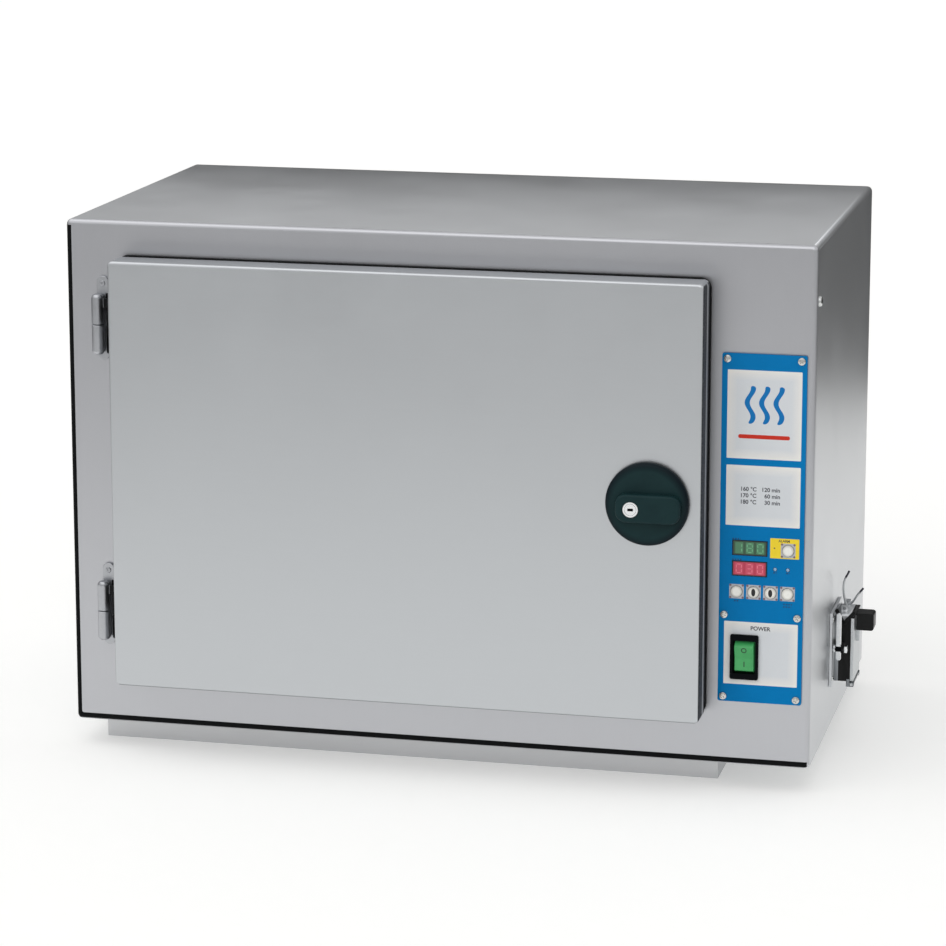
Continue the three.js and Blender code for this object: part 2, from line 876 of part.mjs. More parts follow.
// One side rail: a sheet with a foot, windows for the air and a ledge under each tray
function shelfRail(side) {
  const wall = side < 0 ? chamberLeft : chamberRight;
  const ys = [railFrontGap, railRear];
  const zs = [railBottom, railTop];
  const across = (near, far) => (side < 0 ? [wall + near, wall + far] : [wall - far, wall - near]);
  let body = block(across(railFoot, railFoot + railThickness), ys, zs);
  for (let i = 0; i < shelfCount; i += 1) {
    const z = chamberBottom + shelfFirst + i * shelfPitch;
    const ledge = block(
      across(railFoot, railFoot + railThickness + railLedge),
      ys,
      [z - railThickness, z],
    );
    const windowZs = [z - railThickness - railWindow - railFoot, z - railThickness - railFoot];
    const windowYs = [ys[0] + railWindow, ys[1] - railWindow];
    const window = block(across(0, railFoot + railThickness + overrun), windowYs, windowZs);
    body = body.add(ledge).subtract(window);
  }
  for (const y of [ys[0], ys[1] - railThickness - railThickness]) {
    for (const z of [zs[0], zs[1] - railFoot]) {
      body = body.add(
        block(
          across(seam, railFoot + railThickness),
          [y, y + railThickness + railThickness],
          [z, z + railFoot],
        ),
      );
    }
  }
  return body;
}

// A perforated instrument tray with a turned-out rim
function tray(index) {
  const gap = railFoot + railThickness + traySideGap;
  const xs = [chamberLeft + gap, chamberRight - gap];
  const ys = [railFrontGap, railRear - trayRearGap];
  const z = chamberBottom + shelfFirst + index * shelfPitch + seam;
  const bodyXs = [xs[0] + trayRim, xs[1] - trayRim];
  const bodyYs = [ys[0] + trayRim, ys[1] - trayRim];
  const floorZs = [z, z + trayHeight];
  const innerXs = [bodyXs[0] + traySheet, bodyXs[1] - traySheet];
  const innerYs = [bodyYs[0] + traySheet, bodyYs[1] - traySheet];
  let body = plate(bodyXs, bodyYs, floorZs, trayCorner);
  body = body.add(
    plate(xs, ys, [z + trayHeight - traySheet, z + trayHeight], trayCorner + trayRim),
  );
  body = body.subtract(
    plate(innerXs, innerYs, [z + traySheet, z + trayHeight + overrun], trayCorner - traySheet),
  );
  const pitchX = (innerXs[1] - innerXs[0]) / traySlotColumns;
  const pitchY = (innerYs[1] - innerYs[0]) / traySlotRows;
  for (let column = 0; column < traySlotColumns; column += 1) {
    for (let row = 0; row < traySlotRows; row += 1) {
      const x = innerXs[0] + (column + 1 / 2) * pitchX;
      const y = innerYs[0] + (row + 1 / 2) * pitchY;
      const slotXs = [x - traySlotWidth / 2, x + traySlotWidth / 2];
      const slotYs = [y - traySlotLength / 2, y + traySlotLength / 2];
      body = body.subtract(block(slotXs, slotYs, [z - overrun, z + traySheet + overrun]));
    }
  }
  return body;
}

// A level plate with rounded corners
function plate(xs, ys, zs, radius) {
  const shape = roundedRectangle(xs, ys, radius);
  const options = { depth: zs[1] - zs[0], bevelEnabled: false, curveSegments: cornerSegments };
  const geometry = new THREE.ExtrudeGeometry(shape, options);
  geometry.translate(0, 0, zs[0]);
  return solid(geometry);
}

// The door's outside: a folded pan
function doorOuterPan() {
  const body = pan(
    [doorLeft, doorRight],
    [doorBottom, doorTop],
    [-doorFront, doorPanBack],
    sheet,
    doorCorner,
    doorFold,
  );
  return body.subtract(
    rod(
      "y",
      collarRadius + seam,
      [-doorFront - overrun, overrun - doorFront + sheet],
      [handleX, handleZ],
    ),
  );
}

// The outline of the part of the door that enters the chamber's mouth
function plugOutline(inset) {
  const xs = [chamberLeft + doorPlugInset + inset, chamberRight - doorPlugInset - inset];
  const zs = [chamberBottom + doorPlugInset + inset, chamberTop - doorPlugInset - inset];
  return [xs, zs];
}

// The door's inside sheet, pressed in to a shallow plug
function doorInnerPanel() {
  const front = -doorStandoff - sheet;
  const back = doorPlugDepth - doorStandoff;
  const xs = [doorLeft + doorInnerInset, doorRight - doorInnerInset];
  const zs = [doorBottom + doorInnerInset, doorTop - doorInnerInset];
  const face = slab(xs, zs, [front, -doorStandoff], doorCorner);
  const [plugXs, plugZs] = plugOutline(0);
  const [hollowXs, hollowZs] = plugOutline(sheet);
  const plug = slab(plugXs, plugZs, [front, back], doorPlugCorner);
  const hollow = slab(hollowXs, hollowZs, [front - overrun, back - sheet], doorPlugCorner - sheet);
  const spindleSpan = [front - overrun, overrun - doorStandoff];
  return face.add(plug).subtract(hollow)
    .subtract(rod("y", spindleRadius + seam, spindleSpan, [handleX, handleZ]));
}

// The wool pad inside the door
function doorInsulation() {
  const gap = sheet + doorPadGap;
  const xs = [doorLeft + gap, doorRight - gap];
  const zs = [doorBottom + gap, doorTop - gap];
  const main = block(xs, [seam - doorFront + sheet, doorPanBack], zs);
  const [plugXs, plugZs] = plugOutline(sheet + doorPlugCorner);
  const into = block(
    plugXs,
    [doorPanBack - overrun, doorPlugDepth - doorStandoff - sheet - seam],
    plugZs,
  );
  const spindleSpan = [-doorFront, 0];
  const collarSpan = [
    -doorFront,
    gripBack + rosetteThickness + sheet + collarDepth + seam + seam + seam,
  ];
  return main.add(into)
    .subtract(rod("y", spindleRadius + seam, spindleSpan, [handleX, handleZ]))
    .subtract(rod("y", collarRadius + seam, collarSpan, [handleX, handleZ]));
}

// The silicone seal between the door and the chamber's flange
function doorGasket() {
  const inner = gasketInset;
  const outer = gasketInset + gasketWidth;
  const ys = [seam - doorStandoff, -linerSheet - seam - seam];
  const ring = slab(
    [chamberLeft - outer, chamberRight + outer],
    [chamberBottom - outer, chamberTop + outer],
    ys,
    linerCorner + outer,
  );
  const hole = slab(
    [chamberLeft - inner, chamberRight + inner],
    [chamberBottom - inner, chamberTop + inner],
    [ys[0] - overrun, ys[1] + overrun],
    linerCorner + inner,
  );
  return ring.subtract(hole);
}

// One hinge knuckle: a lathe-turned barrel with a tapered end and a blind bore
function knuckle(split, direction) {
  const boreRadius = hingePinRadius + seam;
  const length = hingeKnuckleLength - hingeSplit / 2;
  const profile = [
    [boreRadius, 0],
    [hingeKnuckleRadius, 0],
    [hingeKnuckleRadius, length - hingeTip],
    [hingeTipRadius, length],
    [0, length],
    [0, length - hingeTip],
    [boreRadius, length - hingeTip],
    [boreRadius, 0],
  ];
  const points = profile.map(([radius, height]) => new THREE.Vector2(radius, height));
  const geometry = new THREE.LatheGeometry(points, roundSegments);
  geometry.rotateX(direction > 0 ? quarterTurn : -quarterTurn);
  geometry.translate(hingeX, hingeY, split + direction * hingeSplit / 2);
  return solid(geometry);
}

// The relief slot along a hinge's barrel, through its leaf and the fascia
function hingeSlot(split, ys) {
  const left = hingeX + hingeKnuckleRadius + seam;
  const zs = [split - hingeKnuckleLength, split + hingeKnuckleLength];
  return block([left, left + hingeSlotWidth], ys, zs);
}

// The half of a hinge on the cabinet: a leaf with the lower knuckle
function frameLeaf(split) {
  const bottom = split - hingeKnuckleLength;
  const top = split + hingeKnuckleLength;
  const right = hingeX + hingeKnuckleRadius + hingeLeafShift;
  const leaf = slab(
    [right - hingeLeafWidth, right],
    [bottom - hingeLeafBottom, top + hingeLeafTop],
    [-seam - hingeLeafThickness, -seam],
    hingeLeafWidth / 2 - seam,
  );
  const web = block(
    [hingeX - hingeWebThickness / 2, hingeX + hingeWebThickness / 2],
    [hingeY + hingePinRadius + sheet, -seam - hingeLeafThickness / 2],
    [bottom + hingeTip, split - hingeSplit / 2],
  );
  const relief = hingeSlot(split, [-seam - hingeLeafThickness - overrun, overrun]);
  return leaf.subtract(relief).add(web).add(knuckle(split, -1));
}

// The half of a hinge on the door: the upper knuckle, a short strap from its top end
// and a flange along the door's side
function doorLeaf(split) {
  const top = split + hingeKnuckleLength - hingeTip;
  const strapZs = [top - hingeStripHeight, top];
  const flangeRight = doorLeft - seam;
  const strap = block(
    [hingeX + hingePinRadius + sheet, flangeRight],
    [hingeY - hingeLeafThickness / 2, hingeY + hingeLeafThickness / 2],
    strapZs,
  );
  const flange = block(
    [flangeRight - hingeLeafThickness, flangeRight],
    [hingeY - hingeDoorFlange, hingeY + hingeLeafThickness / 2],
    [split + hingeSplit / 2, top],
  );
  return strap.add(flange).add(knuckle(split, 1));
}

function hingePin(split) {
  const reach = hingeKnuckleLength - hingeTip - seam;
  return rod(
    "z",
    hingePinRadius,
    [split - reach, split + reach],
    [hingeX, hingeY],
    roundSegments / 2,
  );
}

// The fixed plate behind the knob
function handleRosette() {
  const ys = [-doorFront - seam - rosetteThickness, -doorFront - seam];
  const place = [handleX, handleZ];
  return rod("y", rosetteRadius, ys, place)
    .subtract(rod("y", collarRadius + seam, [ys[0] - overrun, ys[1] + overrun], place));
}

// The round knob with a dished face, a raised grip across it and a collar through the door's skin
function handleKnob() {
  const face = gripBack - knobThickness;
  const collarEnd = -doorFront + sheet + seam;
  const profile = [
    [0, gripBack],
    [knobRadius - sheet, gripBack],
    [knobRadius, gripBack - sheet],
    [knobRadius, face + sheet],
    [knobRadius - sheet, face],
    [knobRadius - knobRimWidth, face],
    [knobRadius - knobRimWidth - knobDishDepth, face + knobDishDepth],
    [0, face + knobDishDepth],
    [0, gripBack],
  ];
  const points = profile.map(([radius, depth]) => new THREE.Vector2(radius, depth)).reverse();
  const turned = new THREE.LatheGeometry(points, roundSegments + roundSegments);
  turned.translate(handleX, 0, handleZ);
  const gripX = handleX + gripShiftX;
  const gripZ = handleZ + gripShiftZ;
  const grip = softSlab(
    [gripX - gripLength / 2, gripX + gripLength / 2],
    [gripZ - gripWidth / 2, gripZ + gripWidth / 2],
    [gripFace, gripBack - sheet],
    gripCorner,
    doorFold,
  );
  const collar = rod(
    "y",
    collarRadius,
    [gripBack - sheet, collarEnd + collarDepth],
    [handleX, handleZ],
  );
  const socketSpan = [gripBack, collarEnd + collarDepth + overrun];
  const socket = rod("y", spindleRadius + seam, socketSpan, [handleX, handleZ]);
  const lockSpan = [gripFace - overrun, gripFace + seam + lockLength + seam];
  const lockHole = rod("y", lockRadius + seam, lockSpan, lockPlace());
  return solid(turned).add(grip).add(collar).subtract(socket).subtract(lockHole);
}

function lockPlace() {
  return [handleX + lockShiftX, handleZ + lockShiftZ];
}

function lockCylinder() {
  const front = gripFace + seam;
  const [x, z] = lockPlace();
  const keyway = block(
    [x - keywayLength / 2, x + keywayLength / 2],
    [front - overrun, front + keywayDepth],
    [z - keywayWidth / 2, z + keywayWidth / 2],
  );
  return rod("y", lockRadius, [front, front + lockLength], [x, z]).subtract(keyway);
}

function handleSpindle() {
  return rod(
    "y",
    spindleRadius,
    [gripBack + seam, camFront + camThickness + overrun],
    [handleX, handleZ],
    roundSegments / 2,
  );
}

// The cam on the spindle's end, pointing up while the latch is released
function latchCam() {
  const half = camWidth / 2;
  const arm = slab(
    [handleX - half, handleX + half],
    [handleZ - half, handleZ + camReach],
    [camFront, camFront + camThickness],
    half - seam,
  );
  const span = [camFront - overrun, camFront + camThickness + overrun];
  return arm.subtract(
    rod("y", spindleRadius + seam, span, [handleX, handleZ], roundSegments / 2),
  );
}

// The plate behind the front that the turned cam bears on
function latchKeeper() {
  const half = camWidth / 2 + camSlotSide;
  const outer = slab(
    [handleX - half - sheet, handleX + half + keeperMargin + keeperMargin],
    [handleZ - half - keeperMargin, handleZ + camReach + camSlotEnd + keeperMargin],
    [keeperFront, keeperFront + keeperThickness],
    sheet,
  );
  return outer.subtract(
    latchSlot([keeperFront - overrun, keeperFront + keeperThickness + overrun]),
  );
}

// The control plate on the front, with holes for the keys, displays, lamps, switch and screws
function controlPlate() {
  const ys = [panelFace, -seam];
  const through = [panelFace - overrun, overrun];
  let body = slab(
    [panelLeft, panelRight],
    [panelBottom, panelTop],
    ys,
    panelCorner,
  );
  for (const place of panelScrewPlaces()) body = body.subtract(
    rod("y", panelScrewRadius + seam, through, place, smallSegments),
  );
  for (const place of Object.values(buttonPlaces)) {
    body = body.subtract(rod("y", buttonRadius + seam, through, place));
  }
  for (const place of lampPlaces) {
    body = body.subtract(rod("y", lampRadius + seam, through, place, smallSegments));
  }
  for (const z of Object.values(displayMiddles)) {
    const [xs, zs] = displayOutline(z, seam);
    body = body.subtract(block(xs, through, zs));
  }
  const half = bezelBody(seam);
  return body.subtract(block(half.xs, through, half.zs));
}

function displayOutline(middle, gap) {
  const x = panelLeft + displayFromLeft;
  const xs = [x - displayWidth / 2 - gap, x + displayWidth / 2 + gap];
  return [xs, [middle - displayHeight / 2 - gap, middle + displayHeight / 2 + gap]];
}

// A display module: its window just proud of the plate, its body back to the board
function display(middle) {
  const [xs, zs] = displayOutline(middle, 0);
  return block(xs, [panelFace - displayProud, boardFront - seam], zs);
}

// The outline of the switch's body behind its rim
function bezelBody(gap) {
  const halfX = bezelWidth / 2 - bezelFlange + gap;
  const halfZ = bezelHeight / 2 - bezelFlange + gap;
  return {
    xs: [rockerX - halfX, rockerX + halfX],
    zs: [rockerMiddle - halfZ, rockerMiddle + halfZ],
  };
}

function rockerPivotY() {
  return panelFace + rockerPivotDepth;
}

// The power switch's housing: a rim on the plate, a body through it and two terminals
function rockerBezel() {
  const front = panelFace - seam - bezelFlange;
  const rim = softSlab(
    [rockerX - bezelWidth / 2, rockerX + bezelWidth / 2],
    [rockerMiddle - bezelHeight / 2, rockerMiddle + bezelHeight / 2],
    [front, front + bezelFlange + seam / 2],
    bezelCorner,
    seam,
  );
  const outline = bezelBody(0);
  const back = front + bezelFlange + bezelBodyDepth;
  const hollowXs = [outline.xs[0] + bezelWall, outline.xs[1] - bezelWall];
  const hollowZs = [rockerMiddle - rockerRadius - seam, rockerMiddle + rockerRadius + seam];
  let body = rim.add(block(outline.xs, [front + bezelFlange / 2, back], outline.zs));
  body = body.subtract(block(hollowXs, [front - overrun, back - bezelWall], hollowZs));
  body = body.subtract(
    rod("x", rockerPinRadius + seam, outline.xs, [rockerPivotY(), rockerMiddle], smallSegments),
  );
  for (const side of [-1, 1]) {
    const z = rockerMiddle + side * bezelHeight / 4;
    const zs = [z - lugWidth / 2, z + lugWidth / 2];
    const xs = [rockerX - lugThickness / 2, rockerX + lugThickness / 2];
    body = body.add(block(xs, [back - bezelWall, back + lugLength], zs));
  }
  return body;
}

// The rocker: two faces at a shallow angle to each other, rounded about its pivot
function powerRocker() {
  const outline = bezelBody(0);
  const xs = [outline.xs[0] + bezelWall + seam, outline.xs[1] - bezelWall - seam];
  const pivotY = rockerPivotY();
  const tilt = THREE.MathUtils.degToRad(rockerTiltDegrees);
  const edge = rockerRadius;
  const crown = pivotY - panelFace + bezelFlange / 2;
  const rise = edge * Math.tan(tilt);
  const outlinePoints = [
    [-edge, -crown - rise],
    [0, -crown],
    [edge, -crown - rise],
    [edge, 0],
    [rockerRadius / 2, rockerRadius / 2],
    [-rockerRadius / 2, rockerRadius / 2],
    [-edge, 0],
  ];
  const shape = new THREE.Shape(outlinePoints.map(([z, y]) => new THREE.Vector2(z, y)));
  const options = { depth: xs[1] - xs[0], bevelEnabled: false };
  const geometry = new THREE.ExtrudeGeometry(shape, options);
  geometry.applyMatrix4(new THREE.Matrix4().set(0, 0, 1, 0, 0, 1, 0, 0, 1, 0, 0, 0, 0, 0, 0, 1));
  const swung = geometry.index ? geometry : mergeVertices(geometry);
  flipFaces(swung);
  const wedge = solid(swung.translate(xs[0], 0, 0));
  const round = rod("x", rockerRadius, xs, [0, 0]);
  const pinXs = [xs[0] - rockerPinLength, xs[1] + rockerPinLength];
  const pins = rod("x", rockerPinRadius, pinXs, [0, 0], smallSegments);
  const turned = wedge.intersect(round).add(pins).rotate([rockerTiltDegrees, 0, 0]);
  return turned.translate([0, pivotY, rockerMiddle]);
}

// Turn a geometry's faces the other way round after a mirroring change of axes
function flipFaces(geometry) {
  const index = geometry.index.array;
  for (let i = 0; i < index.length; i += 3) {
    const second = index[i + 1];
    index[i + 1] = index[i + 2];
    index[i + 2] = second;
  }
}

// A push key with a collar that holds it behind the plate
function pushButton(place) {
  const front = panelFace - buttonProud;
  const cap = rod("y", buttonRadius, [front, buttonRear()], place);
  const collar = rod("y", buttonCollarRadius, [seam, seam + buttonCollarThickness], place);
  return cap.add(collar);
}

function buttonRear() {
  return boardFront - seam - buttonTravel - sheet;
}

// The circuit board on four posts behind the front, with a switch under each key
function controlBoard() {
  const xs = [panelLeft + boardMargin / 2, panelRight - boardMargin / 2];
  const zs = [keyWindow[0] - boardLap, keyWindow[1] + boardLap];
  let body = block(xs, [boardFront, boardFront + boardThickness], zs);
  for (const x of [xs[0] + postInset, xs[1] - postInset]) {
    for (const z of [zs[0] + postInset, zs[1] - postInset]) {
      body = body.add(
        rod(
          "y",
          postRadius,
          [sheet + seam, boardFront + boardThickness + seam],
          [x, z],
          wireSegments,
        ),
      );
    }
  }
  for (const place of Object.values(buttonPlaces)) {
    const span = [buttonRear() + buttonTravel + seam, boardFront + boardThickness / 2];
    body = body.add(rod("y", switchRadius, span, place, smallSegments));
  }
  const middle = (xs[0] + xs[1]) / 2;
  const chipXs = [middle - chipWidth / 2, middle + chipWidth / 2];
  const chipZ = (zs[0] + zs[1]) / 2;
  const chipYs = [boardFront + boardThickness / 2, boardFront + boardThickness + chipDepth];
  return body.add(block(chipXs, chipYs, [chipZ, chipZ + chipHeight]));
}

function controlScrew(place) {
  const headYs = [panelFace - seam - panelScrewHeadHeight, panelFace - seam];
  const shankYs = [headYs[0] + seam, headYs[0] + panelScrewLength];
  return rod("y", panelScrewHeadRadius, headYs, place, smallSegments)
    .add(rod("y", panelScrewRadius, shankYs, place, smallSegments));
}

// The transformer: a laminated core with a winding through it
function transformer() {
  const x = (dividerX + sheet + halfWidth) / 2;
  const floor = sheet + seam;
  const core = block(
    [x - transformerWidth / 2, x + transformerWidth / 2],
    [transformerY + coilMargin, transformerY + transformerDepth - coilMargin],
    [floor, floor + transformerHeight],
  );
  const winding = block(
    [x - transformerWidth / 2 + coilMargin, x + transformerWidth / 2 - coilMargin],
    [transformerY, transformerY + transformerDepth],
    [floor + coilMargin, floor + transformerHeight - coilMargin],
  );
  return core.add(winding);
}

// The heaters' relay on a finned heat sink, on the divider
function heaterRelay() {
  const face = dividerX + sheet + seam;
  let body = block(
    [face + finDepth, face + relayWidth],
    [relayY, relayY + relayDepth],
    [relayZ, relayZ + relayHeight],
  );
  const pitch = (relayDepth - finThickness) / (finCount - 1);
  for (let i = 0; i < finCount; i += 1) {
    const y = relayY + i * pitch;
    body = body.add(
      block([face, face + finDepth + seam], [y, y + finThickness], [relayZ, relayZ + relayHeight]),
    );
  }
  return body;
}

function terminalBlock() {
  const x = (dividerX + sheet + halfWidth) / 2;
  const xs = [x - terminalWidth / 2, x + terminalWidth / 2];
  const floor = sheet + seam;
  let body = block(xs, [terminalY, terminalY + terminalDepth], [floor, floor + terminalHeight]);
  const pitch = terminalWidth / terminalSlots;
  for (let i = 0; i < terminalSlots; i += 1) {
    const middle = xs[0] + (i + 1 / 2) * pitch;
    const slotXs = [middle - terminalSlotWidth / 2, middle + terminalSlotWidth / 2];
    body = body.subtract(
      block(
        slotXs,
        [terminalY - overrun, terminalY + terminalDepth / 2],
        [floor + terminalHeight / 2, floor + terminalHeight + overrun],
      ),
    );
  }
  return body;
}

// The inlet's housing: a flange on the side, a hollow body, ears for the lid and the lever,
// and two eyes for the wire bail
function inletHousing() {
  const near = inletNear;
  const far = inletNear + inletDepth;
  const flangeXs = [halfWidth + seam, halfWidth + seam + inletFlangeThickness];
  let body = block(
    flangeXs,
    [near - inletFlangeMargin, far + inletFlangeMargin],
    [inletBottom - inletFlangeMargin / 2, inletTop + inletFlangeMargin / 2],
  );
  body = body.add(block([halfWidth - inletRear, inletFace], [near, far], [inletBottom, inletTop]));
  body = body.subtract(block(
    [halfWidth - inletRear + inletWall, inletFace + overrun],
    [near + inletWall, far - inletWall],
    [inletBottom + inletWall, inletTop - inletWall],
  ));
  const axle = lidAxle();
  for (const ys of [[near, near + lidEar], [far - lidEar, far]]) {
    const ear = block(
      [inletFace - inletWall, axle.x + lidEarHalf],
      ys,
      [axle.z - lidEarHalf, axle.z + lidEarHalf],
    );
    body = body.add(ear);
    body = body.add(
      block([inletFace - inletWall, inletFace], ys, [axle.z - lidEarHalf, inletBottom + inletWall]),
    );
  }
  body = body.subtract(
    rod(
      "y",
      lidAxleRadius + seam,
      [near - overrun, far + overrun],
      [axle.x, axle.z],
      smallSegments,
    ),
  );
  const pivot = leverPivot();
  const lugXs = [pivot.lugX, pivot.lugX + lugPlate];
  const lug = block(
    lugXs,
    [pivot.y - leverPinRadius - lugPlate, near + inletWall / 2],
    [leverPivotZ - leverKnobRadius, leverPivotZ + leverKnobRadius],
  );
  body = body.add(lug)
    .subtract(
      rod(
        "x",
        leverPinRadius + seam,
        [lugXs[0] - seam, lugXs[1] + seam],
        [pivot.y, leverPivotZ],
        smallSegments,
      ),
    );
  const bail = bailPivot();
  for (const y of [inletMiddleY - bailPivotSpan / 2, inletMiddleY + bailPivotSpan / 2 - bailEar]) {
    const earXs = [bail.x - bailEar, bail.x + bailEar];
    body = body.add(block(earXs, [y, y + bailEar], [inletTop - inletWall / 2, bail.z + bailEar]));
  }
  const eyes = rod(
    "y",
    bailWireRadius + seam,
    [inletMiddleY - bailPivotSpan, inletMiddleY + bailPivotSpan],
    [bail.x, bail.z],
    smallSegments,
  );
  return body.subtract(eyes);
}

function lidAxle() {
  return { x: inletFace + seam + lidThickness / 2, z: inletBottom - lidEarDrop };
}

function leverPivot() {
  const y = inletNear - leverBelow - seam - seam;
  const lugX = halfWidth + leverFromPanel + leverWidth + seam;
  return { y, lugX };
}

function bailPivot() {
  return { x: halfWidth + bailPivotOut, z: inletTop + bailPivotUp };
}

// The three pins inside the inlet, on a common base
function inletContacts() {
  const back = halfWidth - inletRear + inletWall + seam;
  const inset = inletWall + seam;
  let body = block(
    [back, back + contactBase],
    [inletNear + inset, inletNear + inletDepth - inset],
    [inletBottom + inset, inletTop - inset],
  );
  for (let i = -1; i <= 1; i += 1) {
    const place = [inletMiddleY, inletBottom + inletHeight / 2 + i * contactPitch];
    const span = [back + contactBase / 2, back + contactBase + contactLength];
    body = body.add(rod("x", contactRadius, span, place, smallSegments));
  }
  return body;
}

// The lid over the inlet, hinged along its lower edge, with a block to grip it by
function inletLid() {
  const near = inletNear;
  const far = inletNear + inletDepth;
  const xs = [inletFace + seam, lidFace];
  const axle = lidAxle();
  let body = block(xs, [near, far], [inletBottom + seam, inletTop]);
  const lugYs = [inletMiddleY - lidLugDepth / 2, inletMiddleY + lidLugDepth / 2];
  const lugZs = [inletTop - lidLugHeight, inletTop];
  const lug = slab(
    [lidFace - lidLugCorner - seam, lidFace + lidLugReach],
    lugZs,
    lugYs,
    lidLugCorner,
  );
  const behind = block([inletFace - overrun, inletFace + seam], lugYs, lugZs);
  body = body.add(lug.subtract(behind));
  const middleYs = [near + lidEar + seam, far - lidEar - seam];
  body = body.add(rod("y", lidEarHalf, middleYs, [axle.x, axle.z], smallSegments));
  const web = block(
    [axle.x - lidAxleRadius / 2, axle.x + lidAxleRadius / 2],
    middleYs,
    [axle.z, inletBottom + lidThickness],
  );
  const axleRod = rod(
    "y",
    lidAxleRadius,
    [near + seam, far - seam],
    [axle.x, axle.z],
    smallSegments,
  );
  return body.add(web).add(axleRod);
}

// The locking lever on the inlet's near side
function inletLever() {
  const pivot = leverPivot();
  const xs = [halfWidth + leverFromPanel, halfWidth + leverFromPanel + leverWidth];
  const ys = [pivot.y - leverThickness / 2, pivot.y + leverThickness / 2];
  const strip = block(xs, ys, [leverPivotZ - leverBelow, leverPivotZ + leverAbove]);
  const boss = rod(
    "x",
    leverPinRadius + leverThickness / 2,
    xs,
    [pivot.y, leverPivotZ],
    smallSegments,
  );
  const bore = rod(
    "x",
    leverPinRadius + seam,
    [xs[0] - overrun, xs[1] + overrun],
    [pivot.y, leverPivotZ],
    smallSegments,
  );
  return strip.add(boss).subtract(bore);
}

// The lever's pin, with a round head by the casing and a square nut outside
function inletLeverPin() {
  const pivot = leverPivot();
  const place = [pivot.y, leverPivotZ];
  const innerEnd = halfWidth + leverFromPanel - seam;
  const outerStart = pivot.lugX + lugPlate + seam;
  const half = leverNut / 2;
  const shank = rod(
    "x",
    leverPinRadius,
    [innerEnd - leverKnobLength / 2, outerStart + leverNut / 4],
    place,
    smallSegments,
  );
  const head = rod(
    "x",
    leverKnobRadius,
    [innerEnd - leverKnobLength, innerEnd],
    place,
    smallSegments,
  );
  const nut = block(
    [outerStart, outerStart + leverNut / 2],
    [pivot.y - half, pivot.y + half],
    [leverPivotZ - half, leverPivotZ + half],
  );
  return shank.add(head).add(nut);
}

// The wire bail on top of the inlet: an axle in two eyes and two prongs bent outwards at their tips
function inletBail() {
  const { x, z } = bailPivot();
  const y = inletMiddleY;
  const reach = bailPivotSpan / 2 + bailWireRadius;
  let body = rod("y", bailWireRadius, [y - reach, y + reach], [x, z], smallSegments);
  for (const route of Object.values(bailRouteShares)) {
    const points = route
      .map(([out, rise]) => new THREE.Vector3(x + out * bailLength, y, z + rise * bailLength));
    const curve = new THREE.CatmullRomCurve3(points);
    body = body.add(tubeAlong(curve, bailWireRadius, smallSegments));
  }
  return body;
}

// Everything together, cabinet first, then the door and what it carries
const sterilizer = new THREE.Group();
const frame = new THREE.Group();
const rearMost = cabinetDepth + ventProud;
frame.position.set(-inletReach / 2, -(gripFace + rearMost) / 2, plinthHeight);
sterilizer.add(frame);

function add(name, body, finish) {
  frame.add(piece(name, shaped(body), finish));
}

add("outer_wrap", outerWrap(), "casing");
add("front_fascia", frontFascia(), "casing");
add("rear_panel", rearPanel(), "galvanised");
add("base_pan", basePan(), "galvanised");
add("plinth", plinth(), "casing");
add("side_screw", sideScrew(), "chrome");
add("chamber_liner", chamberLiner(), "liner");
add("chamber_insulation", chamberInsulation(), "wool");
add("divider_wall", dividerWall(), "galvanised");
for (const [name, level] of Object.entries(heaterLevels)) add(name, heater(level), "steelCore");
add("temperature_probe", temperatureProbe(), "chrome");
add("safety_thermostat", safetyThermostat(), "greyPlastic");
add("vent_tube", ventTube(), "chrome");
add("shelf_rail_left", shelfRail(-1), "liner");
add("shelf_rail_right", shelfRail(1), "liner");
add("tray_lower", tray(0), "liner");
add("tray_upper", tray(1), "liner");
add("latch_keeper", latchKeeper(), "galvanised");
add("control_plate", controlPlate(), "bluePlate");
panelScrewPlaces()
  .forEach((place, i) => add(`control_screw_${i + 1}`, controlScrew(place), "chrome"));
add("display_green", display(displayMiddles.green), "greenGlass");
add("display_red", display(displayMiddles.red), "redGlass");
for (const [name, place] of Object.entries(buttonPlaces)) add(name, pushButton(place), "whiteKey");
add("rocker_bezel", rockerBezel(), "blackPlastic");
add("power_rocker", powerRocker(), "greenGlass");
add("control_board", controlBoard(), "board");
add("transformer", transformer(), "steelCore");
add("heater_relay", heaterRelay(), "blackPlastic");
add("terminal_block", terminalBlock(), "greyPlastic");
add("inlet_housing", inletHousing(), "blackPlastic");
add("inlet_contacts", inletContacts(), "brass");
add("inlet_lid", inletLid(), "blackPlastic");
add("inlet_lever", inletLever(), "chrome");
add("inlet_lever_pin", inletLeverPin(), "chrome");
add("inlet_bail", inletBail(), "chrome");
for (const [name, split] of Object.entries(hingeMiddles)) {
  add(`hinge_leaf_frame_${name}`, frameLeaf(split), "chrome");
  add(`hinge_leaf_door_${name}`, doorLeaf(split), "chrome");
  add(`hinge_pin_${name}`, hingePin(split), "chrome");
}
add("door_outer_pan", doorOuterPan(), "casing");
add("door_inner_panel", doorInnerPanel(), "liner");
add("door_insulation", doorInsulation(), "wool");
add("door_gasket", doorGasket(), "rubber");
add("handle_rosette", handleRosette(), "blackPlastic");
add("handle_knob", handleKnob(), "blackPlastic");
add("handle_spindle", handleSpindle(), "chrome");
add("latch_cam", latchCam(), "chrome");
add("lock_cylinder", lockCylinder(), "chrome");

export default sterilizer;
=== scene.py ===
from functools import reduce
from math import cos, radians, sin, tan

import bmesh
import bpy
from mathutils import Matrix, Vector


